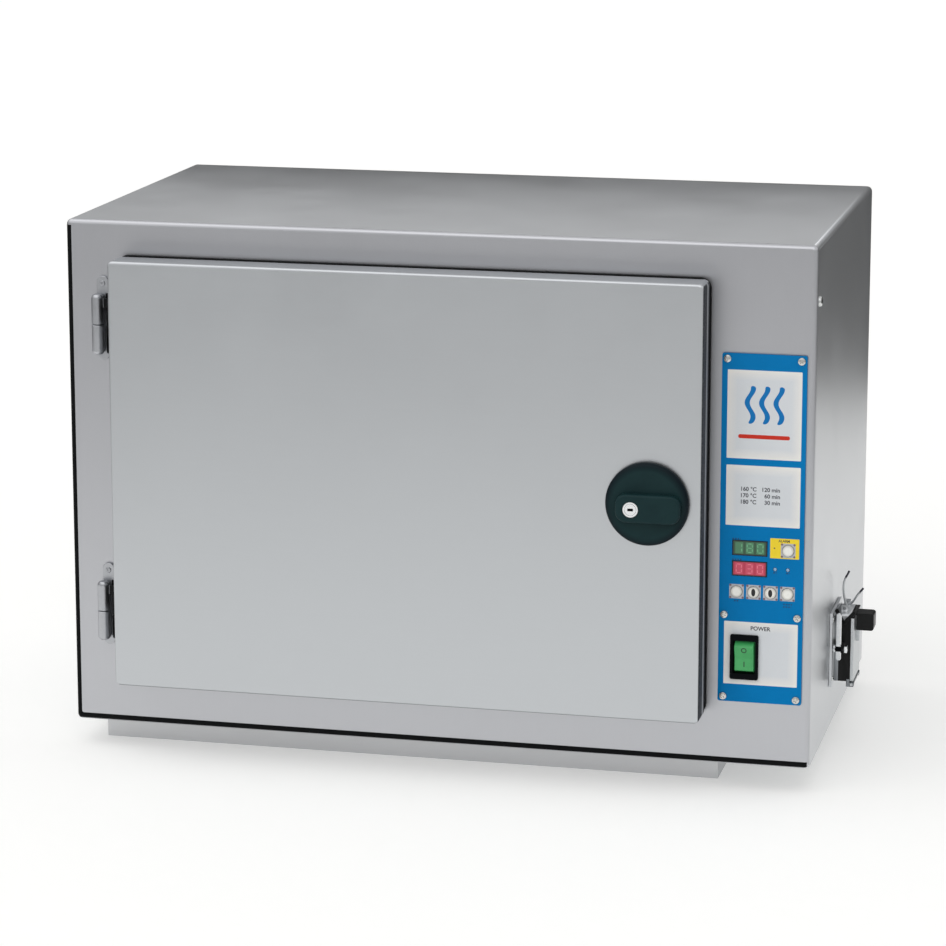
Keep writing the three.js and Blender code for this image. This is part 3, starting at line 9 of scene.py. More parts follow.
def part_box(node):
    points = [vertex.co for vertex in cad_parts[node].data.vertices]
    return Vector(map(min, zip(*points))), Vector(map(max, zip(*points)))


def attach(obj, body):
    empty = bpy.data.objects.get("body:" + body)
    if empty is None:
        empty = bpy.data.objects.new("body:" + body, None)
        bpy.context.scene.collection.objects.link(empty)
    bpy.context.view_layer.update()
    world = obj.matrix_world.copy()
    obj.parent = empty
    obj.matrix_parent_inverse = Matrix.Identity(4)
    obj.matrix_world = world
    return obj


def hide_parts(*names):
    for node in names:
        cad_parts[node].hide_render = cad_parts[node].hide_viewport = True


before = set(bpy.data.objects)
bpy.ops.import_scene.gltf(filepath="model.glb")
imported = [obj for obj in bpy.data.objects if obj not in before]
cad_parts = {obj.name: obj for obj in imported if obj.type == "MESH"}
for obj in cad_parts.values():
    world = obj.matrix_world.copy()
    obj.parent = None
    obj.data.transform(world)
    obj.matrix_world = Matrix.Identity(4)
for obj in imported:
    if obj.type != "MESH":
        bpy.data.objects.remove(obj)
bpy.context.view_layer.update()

# The camera stands to the right of the sterilizer's middle and looks a little down on it.
# It has a long lens, with a small shift that frames the sterilizer as in the photograph.
pitch_down, turn_left = 11.551, 13.339
camera_data = bpy.data.cameras.new("camera")
camera_data.sensor_width = 36
camera_data.lens = 134.51
camera_data.shift_y = -0.0772
camera = bpy.data.objects.new("camera", camera_data)
camera.location = (0.60405, -2.62215, 0.8081)
camera.rotation_euler = (radians(90 - pitch_down), 0, radians(turn_left))
bpy.context.collection.objects.link(camera)
bpy.context.scene.camera = camera
bpy.context.scene.view_settings.view_transform = "Standard"


# The floor is a wide pale sheet that takes the sterilizer's shadow.
# It shows white to the camera and in the steel, and lights the rest as plain pale paper would.
class Shade:
    """A socket that takes part in sums; each sum adds its Math node to the socket's tree."""

    def __init__(self, tree, socket=None):
        self.tree = tree
        self.socket = socket

    def node(self, kind, settings, inputs, output=0):
        made = self.tree.nodes.new(kind)
        for key, value in settings.items():
            if key == "stops":
                ramp = made.color_ramp
                while len(ramp.elements) < len(value):
                    ramp.elements.new(1)
                for stop, (position, colour) in zip(ramp.elements, value):
                    stop.position = position
                    stop.color = tone(colour)
            else:
                setattr(made, key, value)
        for key, value in inputs.items():
            if isinstance(value, Shade):
                self.tree.links.new(value.socket, made.inputs[key])
            else:
                made.inputs[key].default_value = value
        return Shade(self.tree, made.outputs[output]) if len(made.outputs) else None

    def sum(self, operation, first, second=0.0, clamped=False):
        settings = {"operation": operation, "use_clamp": clamped}
        return self.node("ShaderNodeMath", settings, {0: first, 1: second})

    def __add__(self, other):
        return self.sum("ADD", self, other)

    def __sub__(self, other):
        return self.sum("SUBTRACT", self, other)

    def __mul__(self, other):
        return self.sum("MULTIPLY", self, other)

    def __truediv__(self, other):
        return self.sum("DIVIDE", self, other)

    def __rsub__(self, other):
        return self.sum("SUBTRACT", other, self)

    def __rtruediv__(self, other):
        return self.sum("DIVIDE", other, self)

    __radd__ = __add__
    __rmul__ = __mul__

    def larger(self, other):
        return self.sum("MAXIMUM", self, other)

    def plain(self):
        return self.sum("ABSOLUTE", self)

    def root(self):
        return self.sum("SQRT", self)

    def wave(self):
        return self.sum("SINE", self)

    def held(self):
        return self.sum("ADD", self, 0.0, True)

    def axis(self, letter):
        return self.node("ShaderNodeSeparateXYZ", {}, {"Vector": self}, letter)

    def stretched(self, scale):
        return self.node("ShaderNodeMapping", {}, {"Vector": self, "Scale": scale})

    def noise(self, scale, detail=2.0, rough=0.5):
        inputs = {"Vector": self, "Scale": scale, "Detail": detail, "Roughness": rough}
        return self.node("ShaderNodeTexNoise", {}, inputs)

    def mixed(self, first, second):
        inputs = {0: self, 6: tone(first), 7: tone(second)}
        return self.node("ShaderNodeMix", {"data_type": "RGBA"}, inputs, 2)


def tone(code):
    """The linear colour of a six-digit sRGB code. What isn't a code stays as it is."""
    if not isinstance(code, str):
        return code
    shares = [int(code[i:i + 2], 16) / 255 for i in (0, 2, 4)]
    return (*[c / 12.92 if c < 0.04045 else ((c + 0.055) / 1.055) ** 2.4 for c in shares], 1)


def open_tree(name):
    """A new material and the place on its piece, the start of every pattern."""
    material = bpy.data.materials.new(name)
    material.use_nodes = True
    material.node_tree.nodes.clear()
    place = Shade(material.node_tree).node("ShaderNodeTexCoord", {}, {}, "Object")
    return material, place


def shown_to(place, *kinds):
    """How far a ray is one of these kinds."""
    rays = [place.node("ShaderNodeLightPath", {}, {}, "Is %s Ray" % kind) for kind in kinds]
    return reduce(Shade.larger, rays)


def stage_piece(name, shape, material):
    """Make a shape a piece of the stage."""
    mesh = bpy.data.meshes.new(name)
    shape.to_mesh(mesh)
    shape.free()
    mesh.materials.append(material)
    piece = bpy.data.objects.new(name, mesh)
    bpy.context.collection.objects.link(piece)
    return piece


floor_half = 30
floor_shine = 0.36
seen_rays = ("Camera", "Glossy", "Transmission")
material, place = open_tree("pale_floor")
speck = place.noise(60, 4).mixed("e4e4e2", "e8e8e6")
paper = place.node("ShaderNodeBsdfDiffuse", {}, {"Color": speck})
shine = shown_to(place, *seen_rays) * floor_shine
glow = place.node("ShaderNodeEmission", {}, {"Strength": shine})
both = place.node("ShaderNodeAddShader", {}, {0: paper, 1: glow})
place.node("ShaderNodeOutputMaterial", {}, {"Surface": both})
shape = bmesh.new()
bmesh.ops.create_grid(shape, x_segments=1, y_segments=1, size=floor_half)
stage_piece("floor", shape, material)


# A grey card stands in a ring round the sterilizer, with a dark strip behind its top edge.
# Both are seen only in reflections. The ring is darker low down and behind, which draws
# the steel's soft shading.
def grey(level):
    """A linear grey."""
    return (level, level, level, 1)


def ramp(place, *stops):
    """A colour that runs through stops, pairs of position and colour."""
    return place.node("ShaderNodeValToRGB", {"stops": stops}, {"Fac": place})


ring_radius = 1.45
ring_height = 1.3
material, place = open_tree("grey_card")
rise = place.axis("Z") / ring_height
behind = (place.axis("Y") / ring_radius + 0.5).held()
back_card = ramp(rise, (0.0, grey(0.04)), (0.3, grey(0.08)), (0.5, grey(0.22)), (0.8, grey(0.9)))
front_card = ramp(rise, (0.0, grey(0.42)), (0.5, grey(0.6)), (0.9, grey(1)))
card = behind.mixed(front_card, back_card)
glow = place.node("ShaderNodeEmission", {}, {"Color": card, "Strength": 1.0})
place.node("ShaderNodeOutputMaterial", {}, {"Surface": glow})
shape = bmesh.new()
bmesh.ops.create_cone(shape, segments=64, radius1=ring_radius, radius2=ring_radius, depth=ring_height)
bmesh.ops.translate(shape, vec=(0, 0, ring_height / 2), verts=shape.verts)
ring = stage_piece("card_ring", shape, material)
strip_place = Vector((-0.1, 0.31, 0.456))
strip_size = (2.2, 0.01, 0.096)
material, place = open_tree("dark_card")
along = ((place.axis("X") + 0.25) / 0.5 + place.noise(3, 1) * 0.1).held()
shadow = along.mixed(grey(0.015), grey(0.11))
glow = place.node("ShaderNodeEmission", {}, {"Color": shadow, "Strength": 1.0})
place.node("ShaderNodeOutputMaterial", {}, {"Surface": glow})
shape = bmesh.new()
bmesh.ops.create_cube(shape, size=1)
bmesh.ops.scale(shape, vec=strip_size, verts=shape.verts)
bmesh.ops.translate(shape, vec=strip_place, verts=shape.verts)
strip = stage_piece("card_strip", shape, material)
for card in (ring, strip):
    for ray in ("camera", "diffuse", "transmission", "volume_scatter", "shadow"):
        setattr(card, "visible_" + ray, False)

# The room is white all round, and one broad lamp stands high on the left in front.
# Both are at a plain level, so a colour shows about as it is written.
room_level = 0.6
reflected_share = 0.5
world = bpy.data.worlds.new("room")
bpy.context.scene.world = world
world.use_nodes = True
world.node_tree.nodes.clear()
place = Shade(world.node_tree)
seen = shown_to(place, "Camera").larger(shown_to(place, *seen_rays) * reflected_share)
strength = seen * (1 - room_level) + room_level
room = place.node("ShaderNodeBackground", {}, {"Color": (1, 1, 1, 1), "Strength": strength})
place.node("ShaderNodeOutputWorld", {}, {"Surface": room})
lamp_data = bpy.data.lights.new("broad_lamp", "SUN")
lamp_data.energy = 1.15
lamp_data.angle = radians(100)
lamp = bpy.data.objects.new("broad_lamp", lamp_data)
shines_along = Vector((0.45, 0.62, -0.64))
lamp.rotation_euler = shines_along.to_track_quat("-Z", "Y").to_euler()
bpy.context.collection.objects.link(lamp)


# The outer casing is one sheet of stainless steel, folded down over the frame on both sides.
# Its fine grain runs across the top and down the sides.
def close_tree(place, colour, rough, relief=None, depth=0.0, metal=0.0, gloss=0.5, glow=0.0):
    """The surface itself, with a relief in metres where one is given."""
    values = {"Base Color": colour, "Roughness": rough, "Metallic": metal,
              "Specular IOR Level": gloss}
    if glow:
        values.update({"Emission Color": colour, "Emission Strength": glow})
    if relief:
        raised = {"Height": relief, "Distance": depth, "Strength": 1.0}
        values["Normal"] = place.node("ShaderNodeBump", {}, raised)
    surface = place.node("ShaderNodeBsdfPrincipled", {}, values)
    place.node("ShaderNodeOutputMaterial", {}, {"Surface": surface})


def shaded(code, share):
    """A colour code's linear colour, made darker or lighter."""
    return (*[min(c * share, 1) for c in tone(code)[:3]], 1)


def brushed_steel(name, code, run, rough=0.34, mark=0.08, depth=2e-6, shade_zone=None, shade_code=""):
    """Steel brushed along one way, with hairlines, longer streaks and dull hand-wiped patches.
    The zone, where given, is the mask of painted shade, dull and dark, and its code is that shade's
    colour."""
    material, place = open_tree(name)
    hairline = place.stretched(run).noise(2400, 2)
    streak = place.stretched(run).noise(420, 3)
    patch = place.noise(9, 3, 0.6)
    speck = place.noise(1500, 1)
    shading = (hairline * 0.4 + streak * 0.25 + speck * 0.35 - 0.5) * mark + (patch - 0.5) * 0.05
    colour = (shading * 1.2 + 0.5).held().mixed(shaded(code, 0.55), shaded(code, 1.45))
    dull = (hairline - 0.5) * 0.12 + (patch - 0.5) * 0.1 + rough
    metal, gloss = 1.0, 0.5
    if shade_zone:
        share = shade_zone(place)
        colour, dull = share.mixed(colour, shade_code), share * 0.2 + dull
        metal, gloss = 1 - share, 0.1
    close_tree(place, colour, dull, hairline * 0.6 + streak * 0.4, depth, metal, gloss)
    return material


def add_piece(name, shape, material, slot, *nodes, body="cabinet", turn=32):
    """Make a shape a finished piece that rides on a body and stands for its CAD nodes."""
    mesh = bpy.data.meshes.new(name)
    shape.to_mesh(mesh)
    shape.free()
    mesh.shade_smooth()
    mesh.set_sharp_from_angle(angle=radians(turn))
    mesh.materials.append(material)
    piece = bpy.data.objects.new(name, mesh)
    bpy.context.collection.objects.link(piece)
    evened = piece.modifiers.new("evened", "WEIGHTED_NORMAL")
    evened.keep_sharp = True
    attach(piece, body)
    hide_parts(*nodes)
    return piece


def worked(node):
    """A CAD node's shape with its corners merged."""
    shape = bmesh.new()
    shape.from_mesh(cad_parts[node].data)
    bmesh.ops.remove_doubles(shape, verts=shape.verts, dist=1e-6)
    return shape


def keep_shape(name, node, material, slot, body="cabinet"):
    """A piece that keeps the shape of its CAD node."""
    add_piece(name, worked(node), material, slot, node, body=body)


casing_steel = brushed_steel("casing_steel", "d4d6d9", (0.02, 1, 0.02), 0.36)
keep_shape("casing", "outer_wrap", casing_steel, "casing_steel")


# The front is a folded steel pan behind the door, with windows for the chamber, the controls
# and the latch. Its finish is satin, with the faint upright grain of the sheet.
# A dark band is painted along its left and bottom edges: painted shade for the dark reflection and
# shadow gap at those folds.
def field(x, z, left, right, bottom, top, corner=0.0006, soft=0.00012):
    """The mask of an upright rectangle with rounded corners, in metres."""
    across = (x - (left + right) / 2).plain() - ((right - left) / 2 - corner)
    upward = (z - (bottom + top) / 2).plain() - ((top - bottom) / 2 - corner)
    across, upward = across.larger(0), upward.larger(0)
    away = (across * across + upward * upward).root()
    return ((corner - away) / soft + 0.5).held()


def painted_edge_shade(place):
    """Painted shade: a narrow dark band just inside the front's left and bottom edges."""
    beyond_left, shade_right, shade_foot, shade_head = -0.32, 0.2672, 0.0212, 0.4056
    shade_inside, beyond_right, shade_top, beyond_top = -0.2954, 0.28, 0.0254, 0.43
    x, z = place.axis("X"), place.axis("Z")
    around = field(x, z, beyond_left, shade_right, shade_foot, shade_head)
    within = field(x, z, shade_inside, beyond_right, shade_top, beyond_top, 0.0016)
    return around * (1 - within)


# The fascia carries painted shade, near black, along its left and bottom edges.
fascia_steel = brushed_steel("fascia_steel", "c0c1c5", (1, 1, 0.03), 0.36, 0.05, 2e-6, painted_edge_shade,
                             "050709")
keep_shape("fascia", "front_fascia", fascia_steel, "casing_steel")


# The back is a galvanised sheet set in between the casing's walls, held by small screws.
# The zinc shows its crystal flowers, and the floor of the cabinet is of the same sheet.
def zinc_sheet(name, code):
    """Galvanised sheet: zinc flowers of slightly different greys, dulled by handling."""
    material, place = open_tree(name)
    cell = {"Vector": place, "Scale": 55.0}
    flower = place.node("ShaderNodeTexVoronoi", {}, cell, "Color").axis("X")
    feather = place.noise(260, 4, 0.7)
    patch = place.noise(12, 2)
    flowers = (flower * 0.6 + feather * 0.25 + patch * 0.15).held()
    colour = flowers.mixed(shaded(code, 0.72), shaded(code, 1.2))
    close_tree(place, colour, flower * 0.18 + feather * 0.12 + 0.32, feather, 8e-6, 1.0)
    return material


galvanised = zinc_sheet("galvanised_sheet", "b4b8ba")
keep_shape("back_panel", "rear_panel", galvanised, "galvanised_steel")
keep_shape("floor_pan", "base_pan", galvanised, "galvanised_steel")


# The plinth is a low folded steel box under the chamber, which the whole cabinet stands on.
# It is duller than the casing, and its folds are eased.
def rounded(shape, lines, radius, steps=3):
    """Round some of a shape's edges."""
    bmesh.ops.bevel(shape, geom=lines, offset=radius, offset_type="OFFSET", segments=steps,
                    profile=0.5, affect="EDGES", material=-1, clamp_overlap=True)


plinth_steel = brushed_steel("plinth_steel", "cfd0d2", (0.03, 1, 1), 0.42, 0.07)
shape = worked("plinth")
bmesh.ops.dissolve_limit(shape, angle_limit=radians(1), verts=shape.verts, edges=shape.edges)
folds = [line for line in shape.edges
         if len(line.link_faces) == 2 and line.calc_face_angle() > radians(40)]
rounded(shape, folds, 0.0006, 2)
add_piece("plinth_box", shape, plinth_steel, "casing_steel", "plinth")


# Crosshead screws hold the casing at its front edge on the right, and the back panel round
# its rim. Each is a pressed steel head with a cross recess.
def turned(profile, centre, axis="y", steps=48):
    """Turn a profile, pairs of radius and distance along the axis, about an axis through a centre."""
    shape = bmesh.new()
    corners = [shape.verts.new((radius, 0, along)) for radius, along in profile]
    lines = [shape.edges.new(pair) for pair in zip(corners, corners[1:])]
    bmesh.ops.spin(shape, geom=corners + lines, cent=(0, 0, 0), axis=(0, 0, 1),
                   angle=radians(360), steps=steps, use_merge=True)
    bmesh.ops.remove_doubles(shape, verts=shape.verts, dist=1e-7)
    bmesh.ops.recalc_face_normals(shape, faces=shape.faces)
    lay = {"x": Matrix.Rotation(radians(90), 4, "Y"), "y": Matrix.Rotation(radians(-90), 4, "X"),
           "z": Matrix.Identity(4)}
    bmesh.ops.transform(shape, matrix=Matrix.Translation(centre) @ lay[axis], verts=shape.verts)
    return shape


def slab(low, high, thin="y", corner=0.0, edge=0.0, corner_steps=6, edge_steps=3):
    """A block with its corners rounded as seen along its thin way, then its rims softened."""
    shape = bmesh.new()
    bmesh.ops.create_cube(shape, size=1)
    low, high = Vector(low), Vector(high)
    bmesh.ops.scale(shape, vec=high - low, verts=shape.verts)
    bmesh.ops.translate(shape, vec=(high + low) / 2, verts=shape.verts)
    way = "xyz".index(thin)
    rounds = [line for line in shape.edges
              if abs((line.verts[0].co - line.verts[1].co).normalized()[way]) > 0.9]
    for radius, steps, wanted in ((corner, corner_steps, rounds), (edge, edge_steps, None)):
        if radius:
            sharp = [line for line in shape.edges if line.calc_face_angle() > radians(50)]
            rounded(shape, wanted or sharp, radius, steps)
    return shape


def joined(*shapes):
    """One shape out of several."""
    first = shapes[0]
    for other in shapes[1:]:
        mesh = bpy.data.meshes.new("joined")
        other.to_mesh(mesh)
        other.free()
        first.from_mesh(mesh)
        bpy.data.meshes.remove(mesh)
    return first


def cut(shape, cutter):
    """A shape with another cut out of it."""
    holders = []
    for part in (shape, cutter):
        mesh = bpy.data.meshes.new("part")
        part.to_mesh(mesh)
        part.free()
        holders.append(bpy.data.objects.new("part", mesh))
        bpy.context.collection.objects.link(holders[-1])
    whole, tool = holders
    taking = whole.modifiers.new("taking", "BOOLEAN")
    taking.solver = "EXACT"
    taking.object = tool
    graph = bpy.context.evaluated_depsgraph_get()
    left = bpy.data.meshes.new_from_object(whole.evaluated_get(graph))
    result = bmesh.new()
    result.from_mesh(left)
    for holder in holders:
        bpy.data.objects.remove(holder)
    return result


def crosshead(radius, height):
    """A screw head that faces forward from the origin, with a cross recess."""
    profile = [(0, 0), (radius, 0), (radius, -0.35 * height), (0.88 * radius, -0.75 * height),
               (0.55 * radius, -height), (0, -height)]
    arm, half = 0.56 * radius, 0.13 * radius
    depth = -0.35 * height
    level = slab((-arm, -1.5 * height, -half), (arm, depth, half))
    upright = slab((-half, -1.5 * height, -arm), (half, depth, arm))
    head = cut(turned(profile, (0, 0, 0), "y", 32), level)
    return cut(head, upright)


def placed(shape, place, facing=(0, -1, 0), roll=0):
    """A copy of a shape made at the origin facing forward, set down at a place."""
    copy = shape.copy()
    turn = Vector((0, -1, 0)).rotation_difference(Vector(facing)).to_matrix().to_4x4()
    spun = Matrix.Rotation(radians(roll), 4, "Y")
    bmesh.ops.transform(copy, matrix=Matrix.Translation(place) @ turn @ spun, verts=copy.verts)
    return copy


def bright_steel_finish(name, code, rough=0.2, shade_mask=None):
    """Turned or pressed bright steel: faint tool marks and light handling wear.
    The shade mask, where given, marks painted shade, coloured near black."""
    material, place = open_tree(name)
    mark = place.noise(900, 3)
    wear = place.noise(120, 4, 0.6)
    colour = (wear * 0.8 + mark * 0.4).held().mixed(shaded(code, 0.7), code)
    metal, gloss = 1.0, 0.5
    if shade_mask:
        share = shade_mask(place)
        colour = share.mixed(colour, "0b0d10")
        metal, gloss = 1 - share, 0.15
    dull = (wear - 0.5) * 0.2 + (mark - 0.5) * 0.1 + rough
    close_tree(place, colour, dull, mark, 4e-6, metal, gloss)
    return material


def middle_of(node):
    """The middle of a CAD node's box."""
    low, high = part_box(node)
    return (low + high) / 2


screw_steel = bright_steel_finish("screw_steel", "dcdedd")
screw_place = middle_of("side_screw")
screw_place.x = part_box("outer_wrap")[1].x
right_head = placed(crosshead(0.0038, 0.0021), screw_place, (1, 0, 0), 20)
add_piece("casing_screw", right_head, screw_steel, "bright_steel", "side_screw")
back_head = crosshead(0.003, 0.0014)
back_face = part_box("rear_panel")[1].y
left_x, middle_x, right_x = -0.28, -0.015, 0.25
foot_z, middle_z, top_z = 0.034, 0.214, 0.394
back_places = [(x, z) for x in (left_x, middle_x, right_x) for z in (foot_z, top_z)]
back_places += [(x, middle_z) for x in (left_x, right_x)]
heads = [placed(back_head, (x, back_face, z), (0, 1, 0), 31 * i)
         for i, (x, z) in enumerate(back_places)]
add_piece("back_screws", joined(*heads), screw_steel, "bright_steel")

# The chamber is a stainless box with a flange round its mouth, warmed to a faint straw tint,
# in a blanket of mineral wool. A zinc-coated wall parts it from the electrical side.
liner_steel = brushed_steel("liner_steel", "cac8c2", (1, 0.03, 1), 0.3, 0.07)
keep_shape("chamber", "chamber_liner", liner_steel, "liner_steel")


def dress(material, *nodes):
    """Give CAD nodes that keep their own shape a finish."""
    for node in nodes:
        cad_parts[node].material_slots[0].material = material


material, place = open_tree("mineral_wool")
fibre = place.stretched((1, 0.15, 1)).noise(700, 4, 0.7)
tuft = place.noise(70, 3)
colour = (fibre * 0.6 + tuft * 0.5 - 0.05).held().mixed("8d7f55", "d9cfa8")
close_tree(place, colour, tuft * 0.1 + 0.88, fibre + tuft, 1.2e-3)
dress(material, "chamber_insulation", "door_insulation")
dress(zinc_sheet("divider_zinc", "a9adb0"), "divider_wall")

# Two tubular heaters lie under and over the chamber: alloy sheaths blued and browned by heat.
# The probe is a thin bright steel tube with a gland, screwed to the divider.
material, place = open_tree("heater_sheath")
scale = place.noise(900, 3)
colour = ramp(place.noise(45, 3), (0.3, "3a3d46"), (0.5, "5b4a3c"), (0.7, "74706a"))
close_tree(place, colour, scale * 0.25 + 0.4, scale, 2e-5, 0.9)
dress(material, "heater_lower", "heater_upper")
probe_low, probe_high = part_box("temperature_probe")
probe_foot = middle_of("temperature_probe")
probe_foot.x = probe_low.x
probe_length = probe_high.x - probe_low.x
gland, tube = 0.005, 0.002
gland_start, gland_end = 0.0825, 0.0865
probe_line = [(0, 0), (0.7 * tube, 0.0002), (tube, 0.0012), (tube, gland_start - 0.0005),
              (gland, gland_start), (gland, gland_end), (0.8 * gland, gland_end + 0.0005),
              (0.8 * gland, probe_length), (0, probe_length)]
probe_steel = bright_steel_finish("probe_steel", "d2d0ca", 0.24)
add_piece("probe", turned(probe_line, probe_foot, "x", 32), probe_steel, "bright_steel",
          "temperature_probe")


# The over-temperature cut-out is a dark moulded body on the divider, with its bulb in the wool.
# Black and grey mouldings have a fine spark-eroded grain and rub a little paler where touched.
def moulded(name, code, rough=0.5, grain=1100, depth=1.5e-5, worn=1.5, gloss=0.3):
    """Moulded plastic: eroded grain, a faint cloud in the colour and a slight rubbed shine."""
    material, place = open_tree(name)
    pit = place.noise(grain, 2)
    cloud = place.noise(28, 3)
    colour = (cloud * 0.7 + pit * 0.5 - 0.3).held().mixed(code, shaded(code, worn))
    dull = (pit - 0.5) * 0.18 + (cloud - 0.5) * 0.14 + rough
    close_tree(place, colour, dull, pit, depth, gloss=gloss)
    return material


dress(moulded("cutout_plastic", "3a3a3c"), "safety_thermostat")

# The chamber breathes through a short steel tube that passes through the wool and the back panel.
# Outside, it ends in a turned rim.
vent_centre = middle_of("vent_tube")
vent_centre.y = 0
vent_outer, vent_rim, vent_wall = 0.0095, 0.013, 0.0012
vent_front, vent_back = (end.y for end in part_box("vent_tube"))
rim_start = vent_back - 0.0022
vent_inner = vent_outer - vent_wall
vent_line = [(vent_inner, vent_front), (vent_outer, vent_front), (vent_outer, rim_start),
             (vent_rim, rim_start), (vent_rim, vent_back - 0.0008), (vent_rim - 0.0008, vent_back),
             (vent_inner + 0.0012, vent_back), (vent_inner, vent_back - 0.0012),
             (vent_inner, vent_front)]
vent_steel = bright_steel_finish("vent_steel", "c9cac8", 0.3)
add_piece("vent", turned(vent_line, vent_centre), vent_steel, "bright_steel", "vent_tube")

# Two pressed side rails carry the perforated instrument trays on their ledges.
# Rails and trays are bright stainless with fine scratches from use.
rail_steel = brushed_steel("rail_steel", "cfcfcd", (1, 0.03, 1), 0.28, 0.08)
for side in ("left", "right"):
    keep_shape("rail_" + side, "shelf_rail_" + side, rail_steel, "liner_steel")
tray_steel = brushed_steel("tray_steel", "d6d6d4", (0.03, 1, 1), 0.24, 0.1)
keep_shape("low_tray", "tray_lower", tray_steel, "liner_steel")
keep_shape("high_tray", "tray_upper", tray_steel, "liner_steel")

# The keeper is a plain zinc-coated plate fixed behind the front.
# The latch's cam reaches through its slot and turns behind it.
keeper_steel = bright_steel_finish("keeper_steel", "b9bbbc", 0.34)
keep_shape("keeper", "latch_keeper", keeper_steel, "galvanised_steel")

# The control plate is a printed blue sheet on the front: pale fields for a heat sign, a small
# table and the power switch, a yellow field for the alarm key, and pale squares round the keys.
plate_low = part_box("control_plate")[0]


def spot(x, z, middle_x, middle_z, radius, soft=0.0001, flat=1.0):
    """A printed dot, or an upright oval where flat is above one."""
    across, upward = (x - middle_x) * flat, z - middle_z
    away = across * across + upward * upward
    return ((radius - away.root()) / soft + 0.5).held()


material, place = open_tree("printed_plate")
x = place.axis("X") - plate_low.x
z = place.axis("Z") - plate_low.z
cloud = place.noise(40, 3)
speck = place.noise(2600, 2)
grain = (cloud * 0.5 + speck * 0.5).held()
cool_paper = grain.mixed("d2d8e0", "e0e6ec")
warm_paper = grain.mixed("efebe6", "fffdf8")
field_left, field_right, faded = 0.0042, 0.0586, 0.0045
sign_field, table_field, power_field = (0.1835, 0.249), (0.1335, 0.1785), (0.0135, 0.061)
yellow_left, yellow_foot, yellow_top = 0.0373, 0.1102, 0.1252
printed = grain.mixed("006eac", "0088ce")
for low, high in (sign_field, table_field, power_field):
    middle = field(x, z, field_left + faded, field_right - faded, low + faded, high - faded,
                   0.003, 0.011)
    paper = middle.mixed(warm_paper, cool_paper)
    printed = field(x, z, field_left, field_right, low, high).mixed(printed, paper)
yellow = field(x, z, yellow_left, field_right, yellow_foot, yellow_top, 0.0004)
printed = yellow.mixed(printed, "ffe140")
surround, rivet = 0.0054, 0.0046
for key in ("program", "down", "up", "start", "alarm"):
    middle = middle_of(key + "_button") - plate_low
    square = field(x, z, middle.x - surround, middle.x + surround,
                   middle.z - surround, middle.z + surround, 0.0005)
    aside, above = (x - middle.x).plain(), (z - middle.z).plain()
    corner_spot = spot(aside, above, rivet, rivet, 0.00085, 0.0004)
    printed = square.mixed(printed, "c3c4c8")
    printed = (corner_spot * square * 0.8).mixed(printed, "70464c")
sign_middle, stroke_pitch, stroke_half = 0.0314, 0.0105, 0.0019
stroke_foot, stroke_top = 0.2095, 0.2375
sway = (z * 300.0).wave() * 0.0022
for middle in (sign_middle - stroke_pitch, sign_middle, sign_middle + stroke_pitch):
    stroke = field(x - sway, z, middle - stroke_half, middle + stroke_half, stroke_foot,
                   stroke_top, 0.0018)
    printed = stroke.mixed(printed, "1b7ac0")
bar_left, bar_right, bar_foot, bar_top = 0.0125, 0.0503, 0.1985, 0.2015
printed = field(x, z, bar_left, bar_right, bar_foot, bar_top, 0.0014).mixed(printed, "d43a2c")
dash_height = 0.0011
dash = ((x * 3300.0).wave() * 2 + 1.4).held()
small_print = [(0.0095, 0.0155, 0.1228), (0.0095, 0.0165, 0.1073), (0.0393, 0.0423, 0.0988),
               (0.0488, 0.0518, 0.0988), (0.0475, 0.054, 0.0755), (0.0475, 0.0535, 0.0735),
               (0.0105, 0.0152, 0.0762), (0.0392, 0.041, 0.1172)]
for left, right, foot in small_print:
    line = field(x, z, left, right, foot, foot + dash_height, 0.0002, 0.0003)
    printed = (line * dash * 0.75).mixed(printed, "33405c")
dull = (speck - 0.5) * 0.12 + cloud * 0.1 + 0.34
close_tree(place, printed, dull, speck, 6e-6, gloss=0.07)
keep_shape("panel", "control_plate", material, "blue_panel")


def lettering(words, height, middle):
    """Printed words as a thin raised mesh, upright and facing forward."""
    raised, bolder = 0.00004, 0.022
    curve = bpy.data.curves.new("print", "FONT")
    curve.body, curve.size, curve.extrude = words, height, raised
    curve.offset = bolder * height
    curve.align_x, curve.align_y = "CENTER", "CENTER"
    holder = bpy.data.objects.new("print", curve)
    bpy.context.collection.objects.link(holder)
    graph = bpy.context.evaluated_depsgraph_get()
    mesh = bpy.data.meshes.new_from_object(holder.evaluated_get(graph))
    shape = bmesh.new()
    shape.from_mesh(mesh)
    bmesh.ops.remove_doubles(shape, verts=shape.verts, dist=1e-7)
    upright = Matrix.Rotation(radians(90), 4, "X")
    bmesh.ops.transform(shape, matrix=Matrix.Translation(middle) @ upright, verts=shape.verts)
    bpy.data.objects.remove(holder)
    return shape


material, place = open_tree("dark_print")
worn = place.noise(800, 3)
close_tree(place, worn.mixed("23242c", "484a55"), worn * 0.2 + 0.45, worn, 4e-6)
plate_face = plate_low.y
tall_print, small_words, table_middle = 0.0042, 0.0026, 0.0292
lines = (("POWER", tall_print, 0.031, 0.0563),
         ("160 \u00b0C   120 min", tall_print, table_middle, 0.1608),
         ("170 \u00b0C     60 min", tall_print, table_middle, 0.156),
         ("180 \u00b0C     30 min", tall_print, table_middle, 0.1512),
         ("ALARM", small_words, 0.0475, 0.1233))
words = [lettering(line, height, (plate_low.x + across, plate_face, plate_low.z + above))
         for line, height, across, above in lines]
add_piece("panel_print", joined(*words), material, "blue_panel")

# Six crosshead screws of bright steel hold the plate on the front.
# Each stands turned to its own angle.
plate_screw_steel = bright_steel_finish("plate_screw_steel", "dddcd8", 0.24)
plate_head = crosshead(0.003, 0.0016)
for i in range(1, 7):
    node = "control_screw_%d" % i
    middle = middle_of(node)
    middle.y = plate_face
    add_piece("plate_screw_%d" % i, placed(plate_head, middle, roll=37 * i), plate_screw_steel,
              "bright_steel", node)


